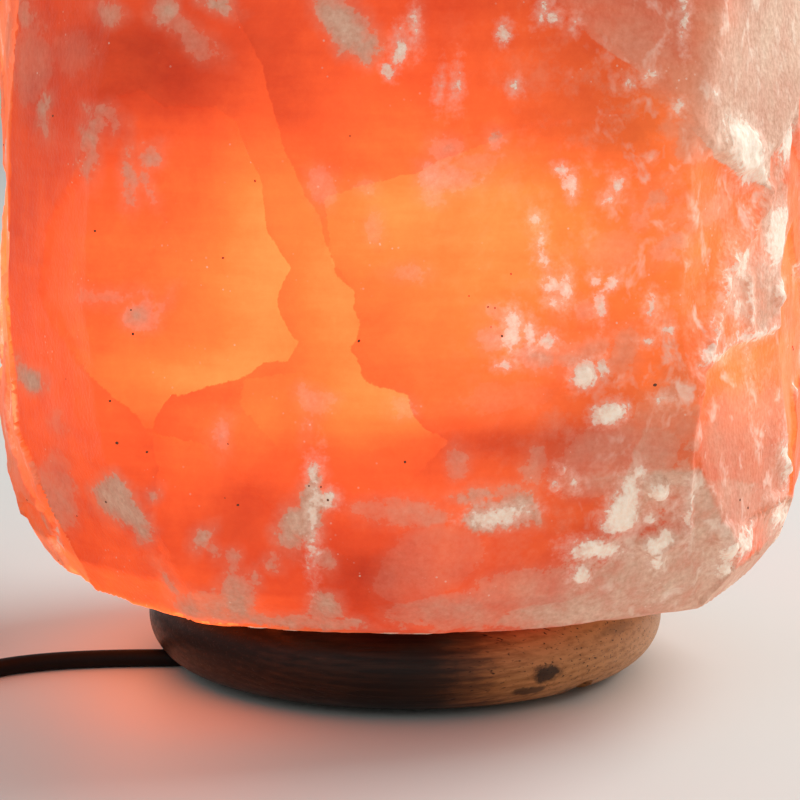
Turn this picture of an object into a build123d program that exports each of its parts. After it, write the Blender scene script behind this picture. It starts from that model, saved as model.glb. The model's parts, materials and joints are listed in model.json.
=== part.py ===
from build123d import *
import math
import os

# A salt crystal lamp: a hewn block of salt on a turned wooden base, with a lamp holder and a small
# bulb in a bore drilled from below, a cord with a dimmer, and a plug. Millimetres, +Z up. The origin
# is on the base's axis, at the surface that the feet stand on. -Y is the front, +X the right.

# ---------------------------------------------------------------- driving sizes
gap = 0.05  # round a screw, an anchor or a sleeve that doesn't turn in use
running_gap = 0.08  # round what turns in use
cut_past = 1.0  # how far a cut runs on past a face

# Wooden base
base_radius = 80.0  # at its widest line
base_thickness = 25.0
base_waist = 14.4  # from the underside up to the widest line
base_underside_round = 15.0  # from the widest line in to the underside's rim
base_top_round = 8.0  # from the widest line in to the top's rim
recess_radius = 42.0  # opening in the underside, for the carrier cup
recess_depth = 10.5
groove_azimuths = (-45.0, 75.0, 191.0)  # the last one holds the cord
groove_radius = 5.2
throat_radius = 6.9  # the grooves are deeper near the recess
throat_end = 56.0  # radius from the base's axis
fixing_azimuth = 15.0
fixings = 3
first_foot_azimuth = -15.0
foot_count = 6
foot_rim = 8.0  # from the feet's centres out to the underside's rim
foot_radius = 6.0
foot_height = 3.0
foot_standoff = 1.5
foot_chamfer = 0.5

# Salt block
bore_radius = 31.0
bore_depth = 128.5
anchor_rim = 10.0  # from the anchors' axes out to the underside's rim
anchor_radius = 4.0
anchor_length = 36.0
anchor_room = 2.0  # left free above each anchor
anchor_hole_depth = anchor_length + anchor_room
block_screw_radius = 2.5
block_screw_length = 50.0
block_screw_head_radius = 5.0
block_screw_head_height = 3.0
block_screw_sink = 7.5  # depth of the counterbore in the base
block_screw_cross = (2.75, 1.2, 1.8)  # reach, width and depth of the cross recess
counterbore_gap = 0.6  # round a screw's head in the base
shank_gap = 0.25  # round a screw's shank in the base
pilot_spare = 0.5  # beyond a screw's point

# Carrier cup
cup_sheet = 1.0
cup_gap = 2.0  # from the cup's wall to the bore
cup_height = 20.0
cup_corner = 2.0
cup_rim_round = 0.3
flange_gap = 1.0  # from the flange's rim to the recess wall
plate_screw_circle = 36.5
plate_screw_radius = 1.75
plate_screw_length = 12.0
plate_screw_head_radius = 3.5
plate_screw_head_height = 2.2
plate_screw_cross = (2.1, 0.9, 1.32)

# Nipple, nut and washer
nipple_radius = 5.0
nipple_bore = 3.5
nipple_tail = 1.5  # below the nut
nut_flats = 14.0
nut_height = 3.0
washer_radius = 8.0
washer_thickness = 1.0

# Lamp holder
holder_radius = 14.0
holder_wall = 1.8
holder_foot_radius = 8.0
holder_neck = 6.0
holder_cone = 10.0
cap_height = 28.0
skirt_height = 32.0
shoulder_thickness = 2.0
shoulder_root = 0.2  # of the shoulder, inside the skirt's wall
skirt_chamfer = 0.6
insert_height = 19.0
insert_stand = 12.0  # the insert's top over the cap's rim
insert_pocket_depth = 11.0
sleeve_wall = 0.45
sleeve_length = 26.5
sleeve_floor_gap = 2.0  # from the sleeve's floor to the bulb's cap
sleeve_hole_gap = 2.0  # round the tip contact, in the sleeve's floor
terminal_length = 4.5
terminal_width = 5.0
terminal_height = 4.0
terminal_reach = 8.5  # from the axis to the terminal's outer end
terminal_screw_radius = 1.25
terminal_screw_head_radius = 1.9
terminal_screw_head_height = 1.8
terminal_screw_short = 0.5  # from the screw's point to the terminal's inner end
spring_length = 9.0
spring_width = 3.5
spring_thickness = 0.5
spring_height = 1.5
spring_crest = 2.4  # length of its raised flat
spring_slope = 0.24  # that the flat's underside is shorter
spring_root = 1.5  # from its end to the foot of its slope

# Bulb
bulb_cap_radius = 6.85
bulb_cap_wall = 0.3
bulb_cap_length = 20.0
tip_radius = 2.4
tip_height = 1.4
tip_chamfer = 0.56
insulator_height = 3.0
insulator_inset = 1.0  # from the cap's wall
insulator_rim = 0.5
glass_radius = 14.0
glass_wall = 0.8
glass_neck_radius = 6.5
glass_neck_length = 18.0
glass_neck_shown = 2.0  # above the cap
glass_flare_height = 22.0
glass_waist = 3.6  # straight stretch between the flare and the domed end
stem_radius = 2.2
stem_length = 22.0
stem_foot_height = 2.0
lead_wire_radius = 0.3
lead_wire_length = 14.0
lead_wire_straight = 3.0  # at each end
lead_wire_root = 1.5  # from the axis, at the stem
lead_wire_spread = 7.0  # from the axis, at the filament
filament_radius = 0.4
filament_bow = 4.0
filament_gap = 0.1
tip_gap = 0.1  # from the tip contact to its spring

# Cord grip, under the carrier cup's flange
grip_circle = 35.5  # radius
grip_length = 9.0
grip_width = 24.0
grip_split = 0.6
grip_bar_height = 3.3
grip_cord_gap = 0.3
grip_screw_offset = 8.0
grip_screw_radius = 1.25
grip_screw_head_radius = 2.3
grip_screw_head_height = 1.4

# Dimmer on the cord
dimmer_width = 34.0
dimmer_height = 19.0
dimmer_corner = 8.0
dimmer_wall = 2.0
dimmer_top_round = 1.2
dimmer_split = 8.0  # height of the joint between its cases, and of the cord
boss_radius = 3.2
boss_offset_x = 11.0
boss_offset_y = 31.0
case_screw_radius = 1.3
case_screw_head_radius = 2.4
case_screw_head_height = 1.6
case_screw_head_gap = 0.2
case_screw_sink = 2.2
case_screw_length = 12.0
rib_height = 3.0
rib_thickness = 1.6
rib_offset = 18.0
board_thickness = 1.6
board_width = 27.0
board_length = 48.0
pot_radius = 8.5
pot_height = 5.5
bush_radius = 4.2
bush_height = 4.0
bush_gap = 0.3
shaft_radius = 3.0
shaft_tail = 3.0  # length of the shaft inside the potentiometer
knob_radius = 13.0
knob_height = 7.5
knob_lift = 0.6  # gap between the knob and the case
knob_roof = 1.5
knob_round = 1.0
knob_flutes = 18
knob_flute_radius = 0.9
knob_flute_inset = 0.63  # of a flute's own radius, in from the rim
knob_mark = (1.2, 6.5, 0.5)  # width, length and depth
knob_mark_place = 8.06  # from the knob's axis
triac_size = (10.0, 4.5, 8.5)
triac_place = (-7.5, -15.0)
capacitor_size = (12.0, 6.0, 8.0)
capacitor_place = (6.5, -15.5)
capacitor_round = 0.8
choke_place = (0.0, 16.0)
choke_radius = 6.5
choke_bore = 2.5
choke_height = 6.0
choke_round = 1.2
relief_radius = 4.6
relief_tip_radius = 3.6
relief_length = 20.0  # outside the case
relief_root = 4.0  # inside the case

# Plug
plug_width = 35.0
plug_rear_width = 14.0
plug_length = 42.0
plug_thickness = 14.0
plug_shoulder = 15.0  # from the face to where the sides draw in
plug_corner = 2.5
plug_round = 1.6
pin_spacing = 18.6
pin_radius = 2.0
pin_core_radius = 1.5
pin_length = 19.0
pin_sleeve_length = 10.0
pin_sleeve_gap = 0.02
pin_root = 9.0  # length inside the body
pin_tip_round = 1.0
plug_relief_length = 22.0
plug_relief_radius = 5.2

# Cord, as chosen by hand: the lead lies in the base, the lamp cord runs on to the dimmer and the plug
# cord runs on from there. z is the centre line's height.
cord_radius = 2.7
cord_lift = 0.05  # under a cord that lies on the floor
floor_height = cord_radius + cord_lift
core_radius = 0.9
core_spread = 1.25
core_straight = 3.0  # at the sheath's end
core_end_straight = 2.5  # at the terminal
sheath_top = 38.0
bend_share = 0.45  # of the shorter run beside a corner, for the corner's arc
lead_azimuth = groove_azimuths[-1]
lead_profile = ((0.0, 20.0), (9.0, 9.5), (24.0, 5.3), (43.0, 5.3))  # radius along the groove, height
lead_end = ((-62.0, -13.6, floor_height), (-76.0, -13.6, floor_height))
lamp_cord_route = (
    lead_end[-1],
    (-104.0, -13.6, floor_height),
    (-133.7, -30.1, floor_height),
    (-152.0, -68.0, floor_height),
    (-176.0, -106.0, floor_height),
    (-208.0, -122.0, floor_height),
    (-236.0, -116.0, 4.2),
    (-250.0, -90.0, dimmer_split),
    (-250.0, -71.0, dimmer_split),
)
coil_start = (-242.0, 106.0)
dimmer_exit_route = (
    (-250.0, 47.0, dimmer_split),
    (-250.0, 63.0, dimmer_split),
    (coil_start[0], 90.0, floor_height),
    (coil_start[0], coil_start[1], floor_height),
)
coil_outer_radius = 42.0
coil_pitch = 7.0  # from turn to turn
coil_layer = 6.0  # from layer to layer
coil_half_turns = 6  # in each layer
coil_end = (coil_start[0] + 2 * coil_outer_radius, coil_start[1], floor_height + coil_layer)
plug_height = plug_thickness / 2
plug_cord_route = (
    coil_end,
    (coil_end[0], 90.0, coil_end[2]),
    (-159.5, 72.0, plug_height),
    (-159.5, 58.0, plug_height),
)

# ---------------------------------------------------------------- places worked out from the sizes
base_bottom = foot_standoff
base_underside_radius = base_radius - base_underside_round
base_top_radius = base_radius - base_top_round
foot_circle = base_underside_radius - foot_rim
anchor_circle = base_underside_radius - anchor_rim
base_top = base_bottom + base_thickness
shoulder = base_bottom + recess_depth
flange_bottom = shoulder - cup_sheet
cup_top = flange_bottom + cup_height
cup_roof = cup_top - cup_sheet
cup_radius = bore_radius - cup_gap
flange_radius = recess_radius - flange_gap
nut_bottom = cup_roof - nut_height
holder_foot = cup_top + washer_thickness
nipple_bottom = nut_bottom - nipple_tail
nipple_top = holder_foot + holder_neck
cap_top = holder_foot + cap_height
skirt_top = cap_top + skirt_height
holder_cavity = holder_radius - holder_wall
insert_top = cap_top + insert_stand
insert_bottom = insert_top - insert_height
sleeve_inner_radius = bulb_cap_radius + running_gap
sleeve_outer_radius = sleeve_inner_radius + sleeve_wall
pocket_radius = sleeve_outer_radius + gap
pocket_floor = insert_top - insert_pocket_depth
spring_top = pocket_floor + spring_height
tip_bottom = spring_top + tip_gap
insulator_bottom = tip_bottom + tip_height
bulb_cap_bottom = insulator_bottom + insulator_height
glass_bottom = bulb_cap_bottom + bulb_cap_length + glass_neck_shown - glass_neck_length
flare_bottom = glass_bottom + glass_neck_length
flare_top = flare_bottom + glass_flare_height
dome_foot = flare_top + glass_waist
sleeve_bottom = bulb_cap_bottom - sleeve_floor_gap
block_screw_seat = base_bottom + block_screw_sink
grip_height = lead_profile[-1][1]  # the cord's height in its grip
dimmer_centre_x = lamp_cord_route[-1][0]
dimmer_centre_y = (lamp_cord_route[-1][1] + dimmer_exit_route[0][1]) / 2
dimmer_length = dimmer_exit_route[0][1] - lamp_cord_route[-1][1] - 2 * relief_length
board_bottom = dimmer_wall + rib_height
board_top = board_bottom + board_thickness
pot_top = board_top + pot_height
bush_top = pot_top + bush_height
knob_bottom = dimmer_height + knob_lift
knob_top = knob_bottom + knob_height
plug_rear = plug_cord_route[-1][1] - plug_relief_length
plug_face = plug_rear - plug_length
plug_x = plug_cord_route[-1][0]
block_foot = base_top

os.makedirs("parts", exist_ok=True)


# ---------------------------------------------------------------- helpers
def ring(radius, inner, low, high, mode=Mode.ADD):
    """A tube or disc about the lamp's axis, between two heights."""
    with BuildSketch(Plane.XY.offset(low)) as section:
        Circle(radius)
        if inner > 0:
            Circle(inner, mode=Mode.SUBTRACT)
    extrude(section.sketch, amount=high - low, mode=mode)


def discs(places, radius, low, high, mode=Mode.ADD):
    """Equal upright cylinders at several places, between two heights."""
    with BuildSketch(Plane.XY.offset(low)) as section:
        with places:
            Circle(radius)
    extrude(section.sketch, amount=high - low, mode=mode)


def cross_slots(places, cross, low):
    """Cross recesses in the undersides of screw heads."""
    reach, width, depth = cross
    with BuildSketch(Plane.XY.offset(low)) as section:
        with places:
            Rectangle(2 * reach, width)
            Rectangle(width, 2 * reach)
    extrude(section.sketch, amount=depth, mode=Mode.SUBTRACT)


def facing(azimuth, radius, height):
    """The upright plane that faces outwards at a radius from the axis."""
    turn = math.radians(azimuth)
    out = Vector(math.cos(turn), math.sin(turn), 0)
    return Plane(origin=out * radius + Vector(0, 0, height), x_dir=(-out.Y, out.X, 0), z_dir=out)


def around(azimuth, radius, height):
    """A point at a radius from the lamp's axis."""
    turn = math.radians(azimuth)
    return Vector(radius * math.cos(turn), radius * math.sin(turn), height)


def bend_radii(points):
    """The largest even arc that each corner of a cord's route allows."""
    radii = []
    for before, corner, after in zip(points, points[1:], points[2:]):
        arriving = Vector(corner) - Vector(before)
        leaving = Vector(after) - Vector(corner)
        turn = math.radians(arriving.get_angle(leaving))
        radii.append(bend_share * min(arriving.length, leaving.length) / math.tan(turn / 2))
    return radii


def tube_along(name, points, radius):
    """A round tube along straight runs joined by arcs. It prints the arcs' radii."""
    radii = bend_radii(points)
    with BuildLine() as route:
        FilletPolyline(*points, radius=radii)
    with BuildSketch(Plane(origin=points[0], z_dir=Vector(points[1]) - Vector(points[0]))) as section:
        Circle(radius)
    sweep(section.sketch, path=route.wires()[0])
    print(name, "length", round(route.wires()[0].length, 1), "radii", [round(r, 1) for r in radii])


def least_gap_to_itself(wire, diameter):
    """The least distance between the skins of two turns of one tube, measured on points."""
    step = 2.0
    count = int(wire.length / step)
    points = [wire @ (index / count) for index in range(count + 1)]
    apart = int(4 * diameter / step)
    least = min(
        (points[first] - points[second]).length
        for first in range(len(points))
        for second in range(first + apart, len(points))
    )
    return least - diameter


# ---------------------------------------------------------------- salt block
# Each level gives the block's reach to the left, right, front and back, at a height over its foot.
block_levels = (
    (0.0, 84.0, 81.0, 77.0, 80.0),
    (7.5, 109.5, 110.0, 104.0, 103.0),
    (18.5, 116.5, 119.0, 112.0, 110.0),
    (33.5, 121.5, 124.0, 117.0, 115.0),
    (53.5, 126.0, 126.5, 120.0, 118.0),
    (95.0, 126.5, 125.0, 119.0, 117.0),
    (140.0, 125.5, 126.5, 117.0, 119.0),
    (185.0, 125.0, 124.0, 113.0, 117.0),
    (222.0, 108.0, 112.0, 101.0, 106.0),
    (255.0, 84.0, 95.0, 84.0, 88.0),
    (283.0, 52.0, 68.0, 57.0, 62.0),
    (302.0, 22.0, 38.0, 27.0, 31.0),
)
# Each ridge runs up the block at an azimuth, and stands out or lies back by a factor.
ridge_azimuths = (0, 24, 50, 72, 96, 124, 150, 180, 207, 234, 254, 270, 290, 311, 337)
ridge_factors = (1, 1, 1.035, 0.99, 1, 1.03, 0.985, 1, 0.985, 1.04, 0.99, 1, 0.99, 1.05, 0.985)
ridge_drift_degrees = 7.0  # that the ridges wander as they climb
fracture_planes = (  # point on the plane, outward direction
    ((92.0, -62.0, 236.0), (0.62, -0.42, 0.66)),
    ((-70.0, -70.0, 258.0), (-0.42, -0.6, 0.68)),
    ((-104.0, 20.0, 232.0), (-0.83, 0.2, 0.52)),
    ((10.0, 98.0, 244.0), (0.1, 0.78, 0.62)),
    ((84.0, 84.0, 150.0), (0.72, 0.69, 0.06)),
    ((-86.0, 84.0, 120.0), (-0.7, 0.71, -0.05)),
)


def block_outline(level, turn):
    """The corners of the block's section at one level."""
    height, left, right, front, back = level
    corners = []
    for azimuth, factor in zip(ridge_azimuths, ridge_factors):
        angle = math.radians(azimuth + turn)
        reach_x = right if math.cos(angle) > 0 else left
        reach_y = back if math.sin(angle) > 0 else front
        corners.append((factor * reach_x * math.cos(angle), factor * reach_y * math.sin(angle)))
    return corners


fixing_places = PolarLocations(anchor_circle, fixings, fixing_azimuth)
with BuildPart() as salt_block:
    for number, level in enumerate(block_levels):
        drift = ridge_drift_degrees * math.sin(number * 0.9)
        with BuildSketch(Plane.XY.offset(block_foot + level[0])):
            Polygon(*block_outline(level, drift), align=None)
    loft(ruled=True)
    for point, outward in fracture_planes:
        split(bisect_by=Plane(origin=point, z_dir=outward), keep=Keep.BOTTOM)
    ring(bore_radius, 0, block_foot, block_foot + bore_depth, Mode.SUBTRACT)
    discs(fixing_places, anchor_radius + gap, block_foot, block_foot + anchor_hole_depth, Mode.SUBTRACT)
salt_block.part.label = "salt_block"
export_step(salt_block.part, "parts/salt_block.step")

with BuildPart() as block_anchors:
    discs(fixing_places, anchor_radius, block_foot, block_foot + anchor_length)
    discs(
        fixing_places,
        block_screw_radius + gap,
        block_foot,
        block_foot + anchor_length,
        Mode.SUBTRACT,
    )
block_anchors.part.label = "block_anchors"
export_step(block_anchors.part, "parts/block_anchors.step")

with BuildPart() as block_screws:
    discs(
        fixing_places,
        block_screw_head_radius,
        block_screw_seat - block_screw_head_height,
        block_screw_seat,
    )
    discs(fixing_places, block_screw_radius, block_screw_seat, block_screw_seat + block_screw_length)
    cross_slots(fixing_places, block_screw_cross, block_screw_seat - block_screw_head_height)
block_screws.part.label = "block_screws"
export_step(block_screws.part, "parts/block_screws.step")

# ---------------------------------------------------------------- wooden base and feet
foot_places = PolarLocations(foot_circle, foot_count, first_foot_azimuth)
plate_screw_places = PolarLocations(plate_screw_circle, fixings, fixing_azimuth)
widest = base_bottom + base_waist
with BuildPart() as wood_base:
    with BuildSketch(Plane.XZ):
        with BuildLine():
            Line((0, base_bottom), (base_underside_radius, base_bottom))
            EllipticalCenterArc(
                (base_underside_radius, widest),
                base_radius - base_underside_radius,
                widest - base_bottom,
                start_angle=270,
                arc_size=90,
            )
            EllipticalCenterArc(
                (base_top_radius, widest),
                base_radius - base_top_radius,
                base_top - widest,
                start_angle=0,
                arc_size=90,
            )
            Line((base_top_radius, base_top), (0, base_top))
            Line((0, base_top), (0, base_bottom))
        make_face()
    revolve(axis=Axis.Z)
    ring(recess_radius, 0, base_bottom, shoulder, Mode.SUBTRACT)
    ring(bore_radius, 0, shoulder, base_top, Mode.SUBTRACT)
    for azimuth in groove_azimuths:
        with BuildSketch(facing(azimuth, bore_radius, base_bottom)):
            Circle(groove_radius)
        extrude(amount=base_radius, mode=Mode.SUBTRACT)
        with BuildSketch(facing(azimuth, bore_radius, base_bottom)):
            Circle(throat_radius)
        extrude(amount=throat_end - bore_radius, mode=Mode.SUBTRACT)
    discs(foot_places, foot_radius + gap, base_bottom, foot_height, Mode.SUBTRACT)
    discs(
        fixing_places,
        block_screw_head_radius + counterbore_gap,
        base_bottom,
        block_screw_seat,
        Mode.SUBTRACT,
    )
    discs(fixing_places, block_screw_radius + shank_gap, block_screw_seat, base_top, Mode.SUBTRACT)
    discs(
        plate_screw_places,
        plate_screw_radius + gap,
        shoulder,
        flange_bottom + plate_screw_length + pilot_spare,
        Mode.SUBTRACT,
    )
wood_base.part.label = "wood_base"
export_step(wood_base.part, "parts/wood_base.step")

with BuildPart() as rubber_feet:
    discs(foot_places, foot_radius, 0, foot_height)
    chamfer(rubber_feet.edges().group_by(Axis.Z)[0], length=foot_chamfer)
rubber_feet.part.label = "rubber_feet"
export_step(rubber_feet.part, "parts/rubber_feet.step")

# ---------------------------------------------------------------- carrier cup
grip_plane = facing(lead_azimuth, grip_circle, grip_height)
grip_screw_spots = [
    (spot.X, spot.Y)
    for spot in (
        grip_plane.from_local_coords(Vector(-grip_screw_offset, 0, 0)),
        grip_plane.from_local_coords(Vector(grip_screw_offset, 0, 0)),
    )
]
with BuildPart() as carrier_cup:
    with BuildSketch(Plane.XZ):
        with BuildLine():
            FilletPolyline(
                (0, cup_roof),
                (cup_radius - cup_sheet, cup_roof),
                (cup_radius - cup_sheet, flange_bottom),
                (flange_radius, flange_bottom),
                (flange_radius, shoulder),
                (cup_radius, shoulder),
                (cup_radius, cup_top),
                (0, cup_top),
                radius=[
                    cup_corner - cup_sheet,
                    cup_corner,
                    cup_rim_round,
                    cup_rim_round,
                    cup_corner - cup_sheet,
                    cup_corner,
                ],
            )
            Line((0, cup_top), (0, cup_roof))
        make_face()
    revolve(axis=Axis.Z)
    ring(nipple_radius + gap, 0, cup_roof, cup_top, Mode.SUBTRACT)
    discs(plate_screw_places, plate_screw_radius + gap, flange_bottom, shoulder, Mode.SUBTRACT)
    discs(Locations(*grip_screw_spots), grip_screw_radius + gap, flange_bottom, shoulder, Mode.SUBTRACT)
carrier_cup.part.label = "carrier_cup"
export_step(carrier_cup.part, "parts/carrier_cup.step")

with BuildPart() as plate_screws:
    discs(
        plate_screw_places,
        plate_screw_head_radius,
        flange_bottom - plate_screw_head_height,
        flange_bottom,
    )
    discs(plate_screw_places, plate_screw_radius, flange_bottom, flange_bottom + plate_screw_length)
    cross_slots(plate_screw_places, plate_screw_cross, flange_bottom - plate_screw_head_height)
plate_screws.part.label = "plate_screws"
export_step(plate_screws.part, "parts/plate_screws.step")

with BuildPart() as nipple:
    ring(nipple_radius, nipple_bore, nipple_bottom, nipple_top)
nipple.part.label = "nipple"
export_step(nipple.part, "parts/nipple.step")

with BuildPart() as nipple_nut:
    with BuildSketch(Plane.XY.offset(nut_bottom)):
        RegularPolygon(nut_flats / 2, 6, major_radius=False)
        Circle(nipple_radius + gap, mode=Mode.SUBTRACT)
    extrude(amount=nut_height)
nipple_nut.part.label = "nipple_nut"
export_step(nipple_nut.part, "parts/nipple_nut.step")

with BuildPart() as nipple_washer:
    ring(washer_radius, nipple_radius + gap, cup_top, holder_foot)
nipple_washer.part.label = "nipple_washer"
export_step(nipple_washer.part, "parts/nipple_washer.step")

# ---------------------------------------------------------------- lamp holder
with BuildPart() as holder_cap:
    with BuildSketch(Plane.XZ):
        with BuildLine():
            Polyline(
                (nipple_radius + gap, holder_foot),
                (holder_foot_radius, holder_foot),
                (holder_radius, holder_foot + holder_cone),
                (holder_radius, cap_top),
                (holder_cavity, cap_top),
                (holder_cavity, holder_foot + holder_cone + holder_wall),
                (holder_foot_radius, holder_foot + holder_neck),
                (nipple_radius + gap, holder_foot + holder_neck),
                close=True,
            )
        make_face()
    revolve(axis=Axis.Z)
holder_cap.part.label = "holder_cap"
export_step(holder_cap.part, "parts/holder_cap.step")

with BuildPart() as holder_skirt:
    ring(holder_radius, holder_cavity, cap_top, skirt_top)
    ring(
        holder_cavity + shoulder_root,
        sleeve_outer_radius + gap,
        insert_top,
        insert_top + shoulder_thickness,
    )
    chamfer(holder_skirt.edges().group_by(Axis.Z)[-1], length=skirt_chamfer)
holder_skirt.part.label = "holder_skirt"
export_step(holder_skirt.part, "parts/holder_skirt.step")

with BuildPart() as holder_insert:
    ring(holder_cavity - gap, 0, insert_bottom, insert_top)
    ring(pocket_radius, 0, pocket_floor, insert_top, Mode.SUBTRACT)
holder_insert.part.label = "holder_insert"
export_step(holder_insert.part, "parts/holder_insert.step")

with BuildPart() as holder_sleeve:
    ring(sleeve_outer_radius, sleeve_inner_radius, sleeve_bottom, sleeve_bottom + sleeve_length)
    ring(sleeve_outer_radius, tip_radius + sleeve_hole_gap, sleeve_bottom - sleeve_wall, sleeve_bottom)
    ring(sleeve_outer_radius, sleeve_inner_radius, pocket_floor, sleeve_bottom - sleeve_wall)
holder_sleeve.part.label = "holder_sleeve"
export_step(holder_sleeve.part, "parts/holder_sleeve.step")

with BuildPart() as holder_centre_contact:
    with BuildSketch(Plane.XZ.offset(-spring_width / 2)):
        with BuildLine():
            Polyline(
                (-spring_length / 2, pocket_floor),
                (spring_length / 2, pocket_floor),
                (spring_length / 2, pocket_floor + spring_thickness),
                (spring_crest / 2, spring_top),
                (-spring_crest / 2, spring_top),
                (-spring_crest / 2, spring_top - spring_thickness),
                (spring_crest / 2 - spring_slope, spring_top - spring_thickness),
                (spring_length / 2 - spring_root, pocket_floor + spring_thickness),
                (-spring_length / 2, pocket_floor + spring_thickness),
                close=True,
            )
        make_face()
    extrude(amount=spring_width)
holder_centre_contact.part.label = "holder_centre_contact"
export_step(holder_centre_contact.part, "parts/holder_centre_contact.step")

terminal_middle = terminal_reach - terminal_length / 2
terminal_height_middle = insert_bottom - terminal_height / 2
with BuildPart() as holder_terminals:
    with BuildSketch(Plane.XY.offset(insert_bottom - terminal_height)):
        with Locations((-terminal_middle, 0), (terminal_middle, 0)):
            Rectangle(terminal_length, terminal_width)
    extrude(amount=terminal_height)
    for side in (-1, 1):
        with BuildSketch(Plane.YZ.offset(side * terminal_reach)):
            with Locations((0, terminal_height_middle)):
                Circle(terminal_screw_radius + gap)
        extrude(amount=-side * terminal_length, mode=Mode.SUBTRACT)
holder_terminals.part.label = "holder_terminals"
export_step(holder_terminals.part, "parts/holder_terminals.step")

with BuildPart() as terminal_screws:
    for side in (-1, 1):
        with BuildSketch(Plane.YZ.offset(side * terminal_reach)):
            with Locations((0, terminal_height_middle)):
                Circle(terminal_screw_radius)
        extrude(amount=-side * (terminal_length - terminal_screw_short))
        with BuildSketch(Plane.YZ.offset(side * terminal_reach)):
            with Locations((0, terminal_height_middle)):
                Circle(terminal_screw_head_radius)
        extrude(amount=side * terminal_screw_head_height)
terminal_screws.part.label = "terminal_screws"
export_step(terminal_screws.part, "parts/terminal_screws.step")

# ---------------------------------------------------------------- bulb
with BuildPart() as bulb_contact:
    ring(tip_radius, 0, tip_bottom, insulator_bottom)
    chamfer(bulb_contact.edges().group_by(Axis.Z)[0], length=tip_chamfer)
bulb_contact.part.label = "bulb_contact"
export_step(bulb_contact.part, "parts/bulb_contact.step")

with BuildPart() as bulb_insulator:
    with BuildSketch(Plane.XZ):
        with BuildLine():
            Polyline(
                (0, insulator_bottom),
                (tip_radius, insulator_bottom),
                (bulb_cap_radius - insulator_inset, bulb_cap_bottom - insulator_rim),
                (bulb_cap_radius - insulator_inset, bulb_cap_bottom),
                (0, bulb_cap_bottom),
                close=True,
            )
        make_face()
    revolve(axis=Axis.Z)
bulb_insulator.part.label = "bulb_insulator"
export_step(bulb_insulator.part, "parts/bulb_insulator.step")

with BuildPart() as bulb_cap:
    ring(
        bulb_cap_radius,
        bulb_cap_radius - bulb_cap_wall,
        bulb_cap_bottom,
        bulb_cap_bottom + bulb_cap_length,
    )
    ring(bulb_cap_radius, tip_radius, bulb_cap_bottom, bulb_cap_bottom + bulb_cap_wall)
bulb_cap.part.label = "bulb_cap"
export_step(bulb_cap.part, "parts/bulb_cap.step")


def glass_profile(inset):
    """Half of the bulb's outline, its skin drawn in by a wall's thickness."""
    neck = glass_neck_radius - inset
    belly = glass_radius - inset
    middle = ((neck + belly) / 2, (flare_bottom + flare_top) / 2)
    rise = Line((neck, glass_bottom), (neck, flare_bottom))
    flare_out = TangentArc((neck, flare_bottom), middle, tangent=rise % 1)
    TangentArc(middle, (belly, flare_top), tangent=flare_out % 1)
    Line((belly, flare_top), (belly, dome_foot))
    CenterArc((0, dome_foot), belly, start_angle=0, arc_size=90)


with BuildPart() as bulb_glass:
    with BuildSketch(Plane.XZ):
        with BuildLine():
            glass_profile(0)
            Line((0, dome_foot + glass_radius), (0, dome_foot + glass_radius - glass_wall))
            glass_profile(glass_wall)
            Line((glass_neck_radius - glass_wall, glass_bottom), (glass_neck_radius, glass_bottom))
        make_face()
    revolve(axis=Axis.Z)
bulb_glass.part.label = "bulb_glass"
export_step(bulb_glass.part, "parts/bulb_glass.step")

stem_top = glass_bottom + stem_length
with BuildPart() as bulb_stem:
    ring(glass_neck_radius - glass_wall - gap, 0, glass_bottom, glass_bottom + stem_foot_height)
    ring(stem_radius, 0, glass_bottom + stem_foot_height, stem_top)
bulb_stem.part.label = "bulb_stem"
export_step(bulb_stem.part, "parts/bulb_stem.step")

lead_wire_top = stem_top + lead_wire_length
with BuildPart() as bulb_leads:
    for side in (-1, 1):
        tube_along(
            "bulb lead",
            [
                (side * lead_wire_root, 0, stem_top),
                (side * lead_wire_root, 0, stem_top + lead_wire_straight),
                (side * lead_wire_spread, 0, lead_wire_top - lead_wire_straight),
                (side * lead_wire_spread, 0, lead_wire_top),
            ],
            lead_wire_radius,
        )
bulb_leads.part.label = "bulb_leads"
export_step(bulb_leads.part, "parts/bulb_leads.step")

filament_height = lead_wire_top + filament_radius + filament_gap
with BuildPart() as bulb_filament:
    with BuildLine() as filament_line:
        ThreePointArc(
            (-lead_wire_spread, 0, filament_height),
            (0, -filament_bow, filament_height),
            (lead_wire_spread, 0, filament_height),
        )
    with BuildSketch(Plane(origin=filament_line.line @ 0, z_dir=filament_line.line % 0)):
        Circle(filament_radius)
    sweep(path=filament_line.wires()[0])
bulb_filament.part.label = "bulb_filament"
export_step(bulb_filament.part, "parts/bulb_filament.step")

# ---------------------------------------------------------------- lead inside the base, and its grip
lead_route = [(0, 0, sheath_top)]
lead_route += [tuple(around(lead_azimuth, radius, height)) for radius, height in lead_profile]
lead_route += list(lead_end)
lead_route[1] = (0, 0, lead_profile[0][1])
with BuildPart() as base_lead:
    tube_along("base lead", lead_route, cord_radius)
base_lead.part.label = "base_lead"
export_step(base_lead.part, "parts/base_lead.step")

terminal_bottom = insert_bottom - terminal_height
with BuildPart() as lead_cores:
    for side in (-1, 1):
        tube_along(
            "lead core",
            [
                (side * core_spread, 0, sheath_top),
                (side * core_spread, 0, sheath_top + core_straight),
                (side * terminal_middle, 0, terminal_bottom - core_end_straight),
                (side * terminal_middle, 0, terminal_bottom),
            ],
            core_radius,
        )
lead_cores.part.label = "lead_cores"
export_step(lead_cores.part, "parts/lead_cores.step")

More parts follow.
